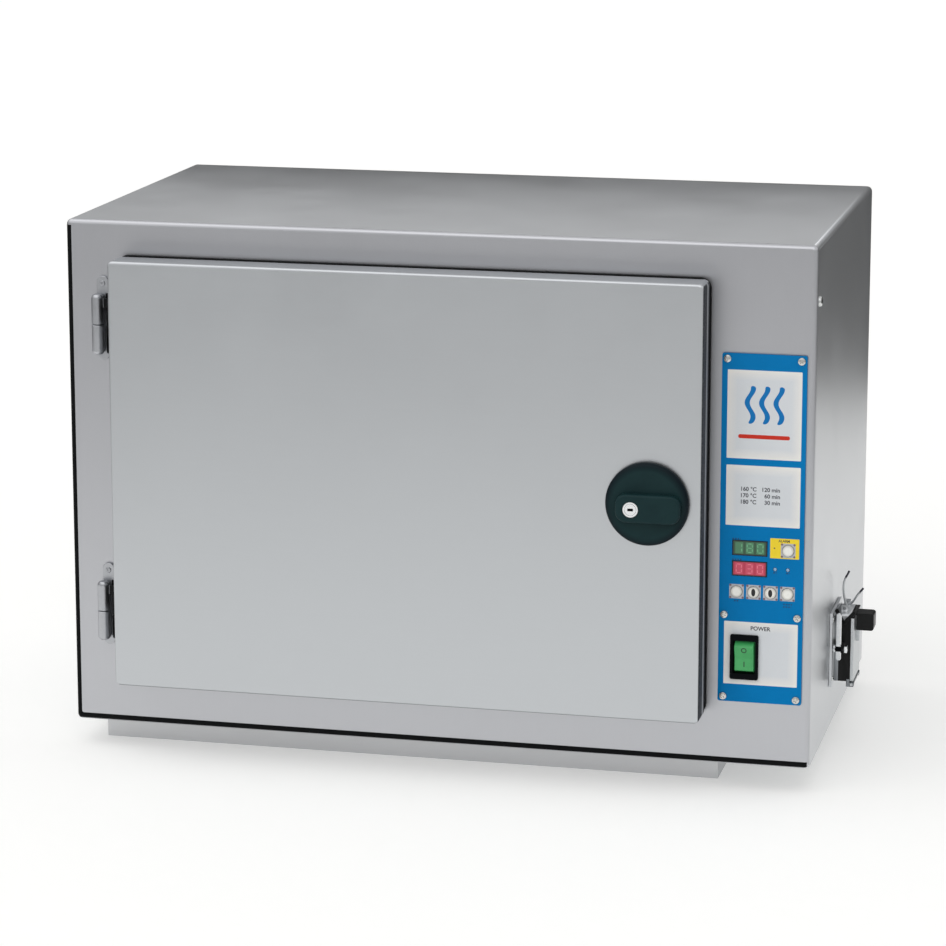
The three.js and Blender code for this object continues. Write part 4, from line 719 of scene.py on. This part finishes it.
# Each display is a tinted window just proud of the plate, with three seven-bar numerals.
# The upper one is green for the heat, the lower one red for the minutes left.
numeral_pitch = 0.0078
numeral_places = (-numeral_pitch, 0, numeral_pitch)
numeral_glow = 0.12


def display_finish(name, code, lit_code, middle):
    """A tinted window with a slightly paler block behind each numeral and a dark rim."""
    material, place = open_tree(name)
    x, z = place.axis("X") - middle.x, place.axis("Z") - middle.z
    blocks = [field(x, z, across - 0.0029, across + 0.0029, -0.0042, 0.0042, 0.0005, 0.0006)
              for across in numeral_places]
    speck = place.noise(1400, 3)
    shade = (reduce(Shade.larger, blocks) * 0.6 + speck * 0.3 - 0.1).held()
    clear = field(x, z, -0.0119, 0.0119, -0.0047, 0.0049, 0.0006, 0.0005)
    colour = clear.mixed("1a1c24", shade.mixed(code, lit_code))
    close_tree(place, colour, speck * 0.1 + 0.12, speck, 2e-6)
    return material


def numerals(text, middle, front):
    """Seven-bar numerals, each bar a thin six-sided sliver."""
    lit = {"0": "abcdef", "1": "bc", "3": "abcdg", "8": "abcdefg"}
    bars = {"a": (0, 1, 0), "b": (1, 0.5, 1), "c": (1, -0.5, 1), "d": (0, -1, 0),
            "e": (-1, -0.5, 1), "f": (-1, 0.5, 1), "g": (0, 0, 0)}
    wide, tall, thick = 0.0019, 0.0032, 0.00075
    slivers = []
    for across, figure in zip(numeral_places, text):
        for bar in lit[figure]:
            aside, above, upright = bars[bar]
            sliver = bmesh.new()
            bmesh.ops.create_cone(sliver, cap_ends=True, segments=6, radius1=0.5, radius2=0.5,
                                  depth=0.00006)
            length = (tall if upright else 2 * wide) * 0.92
            bmesh.ops.scale(sliver, vec=(thick, length, 1), verts=sliver.verts)
            lain = Matrix.Rotation(radians(0 if upright else 90), 4, "Z")
            lay = Matrix.Rotation(radians(90), 4, "X") @ lain
            place = (middle.x + across + aside * wide, front, middle.z + above * tall)
            bmesh.ops.transform(sliver, matrix=Matrix.Translation(place) @ lay, verts=sliver.verts)
            slivers.append(sliver)
    return joined(*slivers)


for node, name, code, lit_code, glow_code, text in (
        ("display_green", "green", "2a5238", "5a9a72", "7cc493", "180"),
        ("display_red", "red", "c4304f", "e05a74", "f2909f", "030")):
    low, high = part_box(node)
    middle = (low + high) / 2
    window = slab(low, high, "y", 0.0005, 0.0002)
    add_piece("window_" + name, window, display_finish(name + "_window", code, lit_code, middle),
              "%s_display" % name, node)
    material, place = open_tree(name + "_numerals")
    flicker = place.noise(900, 2)
    close_tree(place, flicker.mixed(lit_code, glow_code), flicker * 0.1 + 0.2, glow=numeral_glow)
    add_piece("numerals_" + name, numerals(text, middle, low.y), material, "%s_display" % name)

# Two tiny signal lamps stand beside the lower display, both unlit.
# Each is a dome of pale blue plastic set in the plate.
lamp_radius = 0.0013
lamp_left, lamp_right, lamp_height = 0.24145, 0.25085, 0.1708
lamp_line = [(0, -0.0007), (0.5 * lamp_radius, -0.0006), (0.86 * lamp_radius, -0.0003),
             (lamp_radius, 0), (lamp_radius, 0.004), (0, 0.004)]
material, place = open_tree("lamp_plastic")
cloud = place.noise(700, 2)
close_tree(place, cloud.mixed("7fa6cf", "a9c6e2"), cloud * 0.1 + 0.18, cloud, 2e-6)
domes = [turned(lamp_line, (x, plate_face, lamp_height), "y", 24) for x in (lamp_left, lamp_right)]
add_piece("signal_lamps", joined(*domes), material, "blue_panel")

# The five push keys are white round caps with a shallow dish; two carry an upright black oval.
# Each rides in its hole in the plate and presses in by itself.
key_radius = 0.0042
for key in ("alarm", "program", "down", "up", "start"):
    node, body = key + "_button", key + "_key"
    low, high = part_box(node)
    middle = (low + high) / 2
    material, place = open_tree(body + "_plastic")
    grime = place.noise(500, 4, 0.6)
    away = spot(place.axis("X"), place.axis("Z"), middle.x, middle.z, 0.0031, 0.0014)
    colour = (away * 0.8 + grime * 0.3).held().mixed("d2d0c8", "fffef8")
    if key in ("down", "up"):
        oval = spot(place.axis("X"), place.axis("Z"), middle.x, middle.z, 0.0029, 0.0002, 1.9)
        colour = oval.mixed(colour, "16171a")
    close_tree(place, colour, grime * 0.15 + 0.3, grime, 3e-6)
    key_line = [(0, low.y + 0.0003), (0.0026, low.y + 0.00015), (0.0036, low.y),
                (0.004, low.y + 0.00012), (key_radius, low.y + 0.0005),
                (key_radius, high.y), (0, high.y)]
    add_piece(body + "_cap", turned(key_line, (middle.x, 0, middle.z), "y", 40), material,
              "white_key", node, body=body)

# The power switch is a black rim with a lit green rocker that tips on two pins.
# The rocker carries the usual ring and bar for off and on.
black_plastic = moulded("black_plastic", "06080c", 0.4, gloss=0.05)
bezel_low, bezel_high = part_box("rocker_bezel")
rocker_low, rocker_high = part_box("power_rocker")
rim_depth, gap, wall = 0.0024, 0.00035, 0.0011
window = slab((rocker_low.x - gap, bezel_low.y - 0.001, rocker_low.z - gap),
              (rocker_high.x + gap, bezel_high.y - 0.002, rocker_high.z + gap), "y", 0.0006)
rim = cut(slab(bezel_low, (bezel_high.x, bezel_low.y + rim_depth, bezel_high.z), "y", 0.0015, 0.0006),
          window.copy())
switch_body = slab((rocker_low.x - wall, bezel_low.y + 0.001, bezel_low.z + 0.002),
                   (rocker_high.x + wall, bezel_high.y - 0.006, bezel_high.z - 0.002), "y", 0.001)
add_piece("switch_rim", joined(rim, cut(switch_body, window)), black_plastic, "black_plastic",
          "rocker_bezel")
material, place = open_tree("rocker_plastic")
x, z = place.axis("X") - bezel_low.x, place.axis("Z") - bezel_low.z
cloud = place.noise(90, 2)
lit = cloud.mixed("2f9650", "4db268")
middle_x = (bezel_high.x - bezel_low.x) / 2
ring_height, ring_outer, ring_inner = 0.0225, 0.0021, 0.0013
bar_half, bar_foot, bar_top = 0.0004, 0.0095, 0.0135
ring = spot(x, z, middle_x, ring_height, ring_outer) - spot(x, z, middle_x, ring_height, ring_inner)
bar = field(x, z, middle_x - bar_half, middle_x + bar_half, bar_foot, bar_top, 0.0002)
colour = (ring + bar).held().mixed(lit, "143c22")
close_tree(place, colour, cloud * 0.1 + 0.26, cloud, 1e-5, glow=0.12)
rocker_radius, rocker_tip, crown, face_end = 0.0122, radians(9), 0.0065, 0.00924
side_gap, pivot_y = 0.0009, -0.13275
pivot = Vector((rocker_low.x + side_gap, pivot_y, (rocker_low.z + rocker_high.z) / 2))
half_outline = [Vector((0, -crown, 0)), Vector((0, -crown - face_end * tan(rocker_tip), face_end))]
for turn in (55, 65, 75, 90):
    half_outline.append(Vector((0, -cos(radians(turn)), sin(radians(turn)))) * rocker_radius)
half_outline.append(Vector((0, rocker_radius / 2, rocker_radius / 2)))
other_half = [Vector((0, point.y, -point.z)) for point in reversed(half_outline[1:])]
shape = bmesh.new()
outline = shape.faces.new([shape.verts.new(point) for point in half_outline + other_half])
grown = bmesh.ops.extrude_face_region(shape, geom=[outline])
far_side = [part for part in grown["geom"] if isinstance(part, bmesh.types.BMVert)]
rocker_width = rocker_high.x - rocker_low.x - 2 * side_gap
bmesh.ops.translate(shape, vec=(rocker_width, 0, 0), verts=far_side)
bmesh.ops.recalc_face_normals(shape, faces=shape.faces)
rims = [line for line in shape.edges if line.calc_face_angle() > radians(60)]
rounded(shape, rims, 0.0004)
tipped = Matrix.Translation(pivot) @ Matrix.Rotation(rocker_tip, 4, "X")
bmesh.ops.transform(shape, matrix=tipped, verts=shape.verts)
add_piece("rocker", shape, material, "green_rocker", "power_rocker", body="rocker", turn=12)

# Behind the plate stands the control board, a green laminate with copper pads. Further back are
# the transformer, the heaters' relay on its finned sink and the terminal block.
material, place = open_tree("board_laminate")
cell = {"Vector": place, "Scale": 420.0}
pads = place.node("ShaderNodeTexVoronoi", {}, cell, "Distance")
copper = ((0.22 - pads) * 14).held()
weave = place.noise(1300, 3)
colour = copper.mixed(weave.mixed("134a2c", "1f6b3f"), "b98d4a")
close_tree(place, colour, weave * 0.2 + 0.3, copper + weave * 0.3, 3e-5, copper * 0.9)
dress(material, "control_board")
material, place = open_tree("laminated_iron")
lamella = ((place.axis("X") * 5200.0).wave() * 0.5 + 0.5).held()
rust = place.noise(160, 4, 0.65)
colour = (lamella * 0.5 + rust * 0.5).held().mixed("3c3a38", "86705a")
close_tree(place, colour, rust * 0.3 + 0.4, lamella, 8e-5, 0.7)
dress(material, "transformer")
dress(moulded("terminal_plastic", "c9c6ba", 0.5, worn=1.15), "terminal_block")
dress(moulded("relay_plastic", "2b2d30", 0.45), "heater_relay")

# The mains inlet on the right side is a black moulded box in a steel flange. A lid with a steel
# face and a black finger block covers its three brass pins.
material, place = open_tree("inlet_mouldings")
flange_face, steel_end = 0.27085, 0.2746
notch_middle, notch_foot = 0.279, 0.1039
ear_left, ear_top = 0.2812, 0.0588
prongs_back = -0.0246
x, y, z = place.axis("X"), place.axis("Y"), place.axis("Z")
on_flange = ((steel_end - x) / 0.0001 + 0.5).held()
notch = (((z - notch_foot) * 0.9 - (x - notch_middle).plain()) / 0.0002).held()
on_ear = ((ear_top - z) / 0.0002).held() * ((x - ear_left) / 0.0001).held()
behind_prongs = ((y - prongs_back) / 0.0001 + 0.5).held()
on_flange = on_flange.larger(notch).larger(on_ear) * behind_prongs
on_flange = on_flange.larger(((flange_face - x) / 0.0001 + 0.5).held())
pit = place.noise(1200, 2)
cloud = place.noise(50, 3)
black = (cloud * 0.7 + pit * 0.4 - 0.2).held().mixed("050607", "101214")
shade = (cloud * 0.6 + pit * 0.4).held()
on_body = ((x - flange_face - 0.0001) / 0.0001).held() * (1 - notch)
steel = on_body.mixed(shade.mixed("d0d3d6", "e6e8ea"), shade.mixed("7d8185", "9a9ea2"))
close_tree(place, on_flange.mixed(black, steel), pit * 0.15 + 0.36, pit, 1.2e-5, on_flange, 0.2)
prong_foot = Vector((0.2785, -0.0261, 0.1028))
prong_half, prong_length = 0.0013, 0.0125
prongs = []
for lean in (-29, 40):
    prong = slab((-prong_half, -prong_half, 0), (prong_half, prong_half, prong_length), "y",
                 0.0008, 0.0002)
    leaning = Matrix.Translation(prong_foot) @ Matrix.Rotation(radians(lean), 4, "Y")
    bmesh.ops.transform(prong, matrix=leaning, verts=prong.verts)
    prongs.append(prong)
add_piece("inlet_box", joined(worked("inlet_housing"), *prongs), material, "black_plastic",
          "inlet_housing")
flange_head = crosshead(0.0021, 0.0011)
near_y, far_y, foot_z, top_z = -0.0279, 0.0170, 0.0595, 0.1055
flange_screws = [placed(flange_head, (flange_face - 0.0002, y, z), (1, 0, 0), 25)
                 for y in (near_y, far_y) for z in (foot_z, top_z)]
add_piece("inlet_flange_screws", joined(*flange_screws), screw_steel, "bright_steel")
dress(bright_steel_finish("pin_brass", "c9a655", 0.25), "inlet_contacts")
lid_low, lid_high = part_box("inlet_lid")
lid_plate_left, lid_plate_right = 0.28365, 0.28615
black_from, all_black_from = 0.0944, 0.1066
material, place = open_tree("inlet_lid_finish")
x, z = place.axis("X"), place.axis("Z")
is_block = ((x - lid_plate_right - 0.00005) / 0.00008 + 0.5).held()
is_block = is_block * ((z - black_from) / 0.0001).held()
is_block = is_block.larger(((z - all_black_from) / 0.0001).held())
pit = place.noise(1100, 2)
wear = place.noise(140, 4, 0.6)
black = (wear * 0.6 + pit * 0.4 - 0.1).held().mixed("030405", "0c0d0f")
steel = (wear * 0.6 + pit * 0.4).held().mixed("a9adb0", "dfe2e3")
close_tree(place, is_block.mixed(steel, black), wear * 0.2 + 0.26, pit, 8e-6, 1 - is_block, 0.25)
lid_foot, block_foot, block_front, block_back = 0.0572, 0.0945, -0.01295, 0.00205
knuckle_x, knuckle_z = 0.2849, 0.0543
knuckle_front, knuckle_back, web_half = -0.0193, 0.0084, 0.0006
lid_plate = slab((lid_plate_left, lid_low.y, lid_foot), (lid_plate_right, lid_high.y, lid_high.z),
                 "x", 0.0006, 0.0003)
web = slab((knuckle_x - web_half, knuckle_front, knuckle_z),
           (knuckle_x + web_half, knuckle_back, lid_foot + 0.001), "y", 0.0002)


def rod(radius, front, back, x, z, steps):
    """A plain round rod that runs from front to back."""
    return turned([(0, front), (radius, front), (radius, back), (0, back)], (x, 0, z), "y", steps)


knuckle = rod(0.0016, knuckle_front, knuckle_back, knuckle_x, knuckle_z, 32)
axle = rod(0.0012, lid_low.y + 0.0002, lid_high.y - 0.0002, knuckle_x, knuckle_z, 32)
block = slab((lid_plate_right - 0.001, block_front, block_foot),
             (lid_high.x, block_back, lid_high.z), "y", 0.0022, 0.0008)
catch_front, catch_back, catch_foot = -0.0105, -0.0065, 0.0855
catch = slab((lid_plate_right - 0.0004, catch_front, catch_foot),
             (lid_plate_right + 0.0026, catch_back, block_foot + 0.0005), "y", 0.0008, 0.0004)
add_piece("inlet_cover", joined(lid_plate, web, knuckle, axle, block, catch), material,
          "black_plastic", "inlet_lid", body="inlet_cover")

# A bright steel lever clamps the inlet's near side on a cross pin with a round head inside and a
# square nut outside. A thin wire bail with dark tips stands in two eyes on top.
lever_low, lever_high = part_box("inlet_lever")
pin_z, lever_y = 0.085, -0.03405
lever_half = 0.0013
lever = slab((lever_low.x, lever_y - lever_half, lever_low.z),
             (lever_high.x, lever_y + lever_half, lever_high.z), "y", 0.0018, 0.0005)


def eased(radius, start, end, inset, ease):
    """The profile of a plain rod with eased rims."""
    return [(0, start), (radius - inset, start), (radius, start + ease), (radius, end - ease),
            (radius - inset, end), (0, end)]


bush_line = eased(0.0024, lever_low.x - 0.0002, lever_high.x + 0.0002, 0.0002, 0.0003)
lever_chrome = bright_steel_finish("lever_chrome", "eef0f2", 0.12)
add_piece("inlet_clamp_lever", lever, lever_chrome, "bright_steel", "inlet_lever",
          body="inlet_clamp")
add_piece("lever_bush", turned(bush_line, (0, lever_y, pin_z), "x", 32), black_plastic,
          "black_plastic", body="inlet_clamp")
pin_low, pin_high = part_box("inlet_lever_pin")
head_radius, shank_radius, nut_half, nut_left = 0.0031, 0.0015, 0.0025, 0.28025
head_end = pin_low.x + 0.0022
pin_line = [(0, pin_low.x), (0.0024, pin_low.x + 0.0001), (head_radius, pin_low.x + 0.0008),
            (head_radius, head_end - 0.0003), (0.0027, head_end), (shank_radius, head_end),
            (shank_radius, pin_high.x - 0.0003), (0.0011, pin_high.x), (0, pin_high.x)]
nut = slab((nut_left, lever_y - nut_half, pin_z - nut_half),
           (pin_high.x - 0.0002, lever_y + nut_half, pin_z + nut_half), "x", 0.0004, 0.0003)
add_piece("lever_pin", joined(turned(pin_line, (0, lever_y, pin_z), "x", 32), nut), lever_chrome,
          "bright_steel", "inlet_lever_pin")
tip_start, side_tip_start = 0.1325, 0.2872
material, place = open_tree("bail_wire")
tip = ((place.axis("Z") - tip_start) / 0.002).held()
side_tip = ((place.axis("X") - side_tip_start) / 0.001).held()
scuff = place.noise(700, 3)
bright = scuff.mixed("9fa3a6", "c9ccce")
colour = tip.larger(side_tip).mixed(bright, "3a3c44")
close_tree(place, colour, scuff * 0.2 + 0.25, scuff, 6e-6, 0.9)
keep_shape("wire_bail", "inlet_bail", material, "bright_steel", "inlet_wire")


# Each hinge is two satin steel barrels on a pin: the lower one on a leaf screwed to the front,
# the upper one on a strap and a flange fixed to the door's side.
axle_x, axle_y = middle_of("hinge_pin_upper").xy
barrel_radius, barrel_length, split_half, barrel_tip = 0.00475, 0.023, 0.0003, 0.0032
leaf_thickness, leaf_width, strap_height, strap_start = 0.002, 0.009, 0.007, 0.0034
hinge_head = crosshead(0.0022, 0.0009)


def barrel(middle_z, way):
    """A turned hinge barrel with a domed end, up or down from the split between the two."""
    start, end = way * split_half, way * barrel_length
    line = [(0, start), (barrel_radius - 0.0004, start), (barrel_radius, start + way * 0.0004),
            (barrel_radius, end - way * 0.003), (barrel_radius - 0.0005, end - way * 0.0015),
            (barrel_tip, end - way * 0.0003), (barrel_tip - 0.0008, end), (0, end)]
    return turned(line, (axle_x, axle_y, middle_z), "z", 48)


for end in ("upper", "lower"):
    pin_low, pin_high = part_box("hinge_pin_" + end)
    middle_z = (pin_low.z + pin_high.z) / 2

    def painted_gap_shade(place):
        """Painted shade, near black, on the leaves in the gap between the barrel and the door."""
        return field(place.axis("X"), place.axis("Z"), axle_x + barrel_radius + 0.0001, 0,
                     middle_z - barrel_length, middle_z + barrel_length, 0.0008)

    # The hinge steel carries painted shade, near black, in the gap between barrel and door.
    hinge_steel = bright_steel_finish("hinge_steel_" + end, "c0c2c6", 0.34, painted_gap_shade)
    leaf_low, leaf_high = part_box("hinge_leaf_frame_" + end)
    leaf_right, leaf_back = leaf_high.x, leaf_high.y
    leaf_face = leaf_back - leaf_thickness
    leaf = slab((leaf_right - leaf_width, leaf_face, leaf_low.z), leaf_high, "y", 0.0041, 0.0004)
    slot_left = axle_x + barrel_radius + 0.0003
    slot = slab((slot_left, leaf_back - 0.004, middle_z - barrel_length),
                (slot_left + 0.005, leaf_back + 0.001, middle_z + barrel_length))
    web = slab((axle_x - 0.0015, axle_y + strap_start, middle_z - barrel_length + 0.003),
               (axle_x + 0.0015, leaf_back - leaf_thickness / 2, middle_z - split_half), "y", 0.0003)
    tip_place = (leaf_right - leaf_width / 2, leaf_face, leaf_high.z - 0.0055)
    head = placed(hinge_head, tip_place, roll=40)
    add_piece("frame_leaf_" + end, joined(cut(leaf, slot), web, barrel(middle_z, -1), head),
              hinge_steel, "bright_steel", "hinge_leaf_frame_" + end)
    door_low, door_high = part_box("hinge_leaf_door_" + end)
    flange_right = door_high.x
    strap_top = middle_z + barrel_length - 0.003
    strap = slab((axle_x + strap_start, axle_y - leaf_thickness / 2, strap_top - strap_height),
                 (flange_right, axle_y + leaf_thickness / 2, strap_top), "y", 0.0004, 0.0003)
    flange = slab((flange_right - leaf_thickness, door_low.y, middle_z + split_half),
                  (flange_right, axle_y + leaf_thickness / 2, strap_top), "x", 0.0015, 0.0004)
    head_x, head_y = flange_right - leaf_thickness, door_low.y + 0.006
    lower_head, upper_head = middle_z + 0.006, middle_z + 0.0145
    heads = [placed(hinge_head, (head_x, head_y, z), (-1, 0, 0), 15)
             for z in (lower_head, upper_head)]
    add_piece("door_leaf_" + end, joined(strap, flange, barrel(middle_z, 1), *heads), hinge_steel,
              "bright_steel", "hinge_leaf_door_" + end, body="door")
    pin_line = eased(0.0021, pin_low.z, pin_high.z, 0.0003, 0.0004)
    add_piece("hinge_axle_" + end, turned(pin_line, (axle_x, axle_y, 0), "z", 32), hinge_steel,
              "bright_steel", "hinge_pin_" + end)

# The door is a folded pan of satin steel with rounded edges, closed behind by a pressed inner
# sheet with a shallow plug. A black seal runs round its rim and stands a little past it, so it
# also serves as painted shade in the gap round the door; a silicone one runs round the plug.
pan_low, pan_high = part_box("door_outer_pan")
light_line_front, light_line_back = -0.1538, -0.1482


def painted_door_shade(place):
    """Painted shade: the pan's right side is coloured dark but for a lighter painted line, and its
    lower and left folds a little.
    """
    x, y, z = place.axis("X"), place.axis("Y"), place.axis("Z")
    light_line = ((y - light_line_front) / 0.0006).held() * ((light_line_back - y) / 0.0006).held()
    right = ((x - pan_high.x + 0.0011) / 0.0004).held() * (1 - light_line * 0.8)
    below = ((pan_low.z + 0.0011 - z) / 0.0006).held() * 0.6
    left = ((pan_low.x + 0.0009 - x) / 0.0005).held() * 0.4
    speck = place.noise(700, 2) * 0.5 + 0.75
    return (right.larger(below).larger(left) * speck).held()


# The door's steel carries painted shade on its right side and on its lower and left folds.
door_steel = brushed_steel("door_steel", "c6c9cc", (0.03, 1, 1), 0.36, 0.05, 2e-6, painted_door_shade, "383b40")
keep_shape("door_pan", "door_outer_pan", door_steel, "door_steel", "door")
inner_steel = brushed_steel("inner_door_steel", "cfcecb", (0.03, 1, 1), 0.27, 0.08)
inner_panel = worked("door_inner_panel")
bmesh.ops.dissolve_limit(inner_panel, angle_limit=radians(0.5), verts=inner_panel.verts,
                         edges=inner_panel.edges)
add_piece("door_inner", inner_panel, inner_steel, "liner_steel", "door_inner_panel", body="door",
          turn=22)
# The black seal stands a little past the pan's outline, so it also serves as painted shade in the gap
# round the door.
seal_out, seal_in, seal_front, seal_back = 0.0007, 0.0035, pan_high.y + 0.0016, -0.1376
seal = slab((pan_low.x - seal_out, seal_front, pan_low.z - seal_out),
            (pan_high.x + seal_out, seal_back, pan_high.z + seal_out), "y", 0.0085, 0.0006, 10)
hollow = slab((pan_low.x + seal_in, seal_front - 0.002, pan_low.z + seal_in),
              (pan_high.x - seal_in, seal_back + 0.002, pan_high.z - seal_in), "y", 0.006, 0, 10)
seal_and_gap_shade = moulded("seal_and_gap_shade", "050607", 0.65, 900, gloss=0.12)
add_piece("door_rim_seal_and_gap_shade", cut(seal, hollow), seal_and_gap_shade, "silicone_rubber", body="door")
silicone = moulded("silicone_seal", "8f4a3a", 0.45, 700, 2e-5, 1.3)
keep_shape("plug_seal", "door_gasket", silicone, "silicone_rubber", "door")

# The handle is a round black moulding with a dished face and a raised grip across it, on a fixed
# round plate. Its spindle carries the latch's cam behind the door.
knob_low, knob_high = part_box("handle_knob")
knob_x = (knob_low.x + knob_high.x) / 2
knob_z = (knob_low.z + knob_high.z) / 2
knob_radius, knob_back, knob_face = 0.0308, -0.16905, -0.17305
skirt_back, hollow_radius = -0.16675, 0.0285
knob_line = [(0, knob_back), (hollow_radius, knob_back), (hollow_radius, skirt_back),
             (knob_radius - 0.0005, skirt_back), (knob_radius, skirt_back - 0.0005),
             (knob_radius, knob_face + 0.0034), (knob_radius - 0.0003, knob_face + 0.0023),
             (knob_radius - 0.0011, knob_face + 0.0014), (knob_radius - 0.0024, knob_face + 0.0007),
             (knob_radius - 0.0042, knob_face + 0.0002), (knob_radius - 0.0058, knob_face + 0.0002),
             (knob_radius - 0.0085, knob_face + 0.0007), (0.55 * knob_radius, knob_face + 0.001),
             (0, knob_face + 0.001)]
disc = turned(knob_line, (knob_x, 0, knob_z), "y", 128)
grip_x, grip_z, grip_half, grip_rise = knob_x + 0.002, knob_z - 0.002, 0.024, 0.0105
grip = slab((grip_x - grip_half, knob_low.y, grip_z - grip_rise),
            (grip_x + grip_half, knob_face + 0.002, grip_z + grip_rise), "y", 0.008, 0.0022, 10, 5)
lock_low, lock_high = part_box("lock_cylinder")
lock_x, lock_z = (lock_low.x + lock_high.x) / 2, (lock_low.z + lock_high.z) / 2
lock_radius, collar_radius, face_radius = 0.006, 0.007, 0.0272
hole_front, hole_end = -0.181, -0.1702
lock_hole = rod(lock_radius + 0.0002, hole_front, hole_end, lock_x, lock_z, 64)
collar = rod(collar_radius, knob_back - 0.0005, knob_high.y, knob_x, knob_z, 48)
material, place = open_tree("knob_plastic")
# Painted shade: the knob's rim is coloured darker than the middle of its face.
clear_of_rim_shade = spot(place.axis("X"), place.axis("Z"), knob_x, knob_z, face_radius, 0.005)
pit = place.noise(1400, 2)
cloud = place.noise(60, 3)
worn = (cloud * 0.7 + pit * 0.3).held().mixed("0c2528", "1d393b")
close_tree(place, clear_of_rim_shade.mixed("05151c", worn), pit * 0.2 + 0.3, pit, 8e-6, gloss=0.12)
add_piece("knob", joined(disc, cut(grip, lock_hole), collar), material, "knob_plastic",
          "handle_knob", body="handle")
rosette_low, rosette_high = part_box("handle_rosette")
rosette_radius, rosette_hole = 0.028, 0.0074
rosette_line = [(rosette_hole, rosette_high.y), (rosette_radius, rosette_high.y),
                (rosette_radius, rosette_low.y + 0.0004), (rosette_radius - 0.0004, rosette_low.y),
                (rosette_hole, rosette_low.y), (rosette_hole, rosette_high.y)]
rosette_plastic = moulded("rosette_plastic", "06090a", 0.5, gloss=0.15)
add_piece("rosette", turned(rosette_line, (knob_x, 0, knob_z), "y", 96), rosette_plastic,
          "grey_plastic", "handle_rosette", body="door")
spindle_steel = bright_steel_finish("spindle_steel", "bfc0bf", 0.28)
dress(spindle_steel, "handle_spindle")
keep_shape("cam", "latch_cam", spindle_steel, "bright_steel", "handle")

# The lock is a bright chromed cylinder that turns in the grip's left end.
# Its face has a turned ring and a level keyway.
front, back = lock_low.y, lock_high.y
lock_line = [(0, back), (lock_radius, back), (lock_radius, front + 0.0004),
             (lock_radius - 0.0004, front), (0.0045, front), (0.0043, front + 0.00025),
             (0.0041, front), (0, front)]
keyway_half = 0.0021
keyway = slab((lock_x - keyway_half, front - 0.001, lock_z - 0.0008),
              (lock_x + keyway_half, front + 0.003, lock_z + 0.0008), "y", 0.0004)


def painted_keyway_shade(place):
    """Painted shade: the keyway's inside, coloured dark."""
    return field(place.axis("X"), place.axis("Z"), lock_x - keyway_half, lock_x + keyway_half,
                 lock_z - 0.001, lock_z + 0.001, 0.0004)


# The lock's chrome carries painted shade inside its keyway.
lock_chrome = bright_steel_finish("lock_chrome", "f2f3f4", 0.16, painted_keyway_shade)
add_piece("lock", cut(turned(lock_line, (lock_x, 0, lock_z), "y", 64), keyway), lock_chrome,
          "lock_chrome", "lock_cylinder", body="lock")
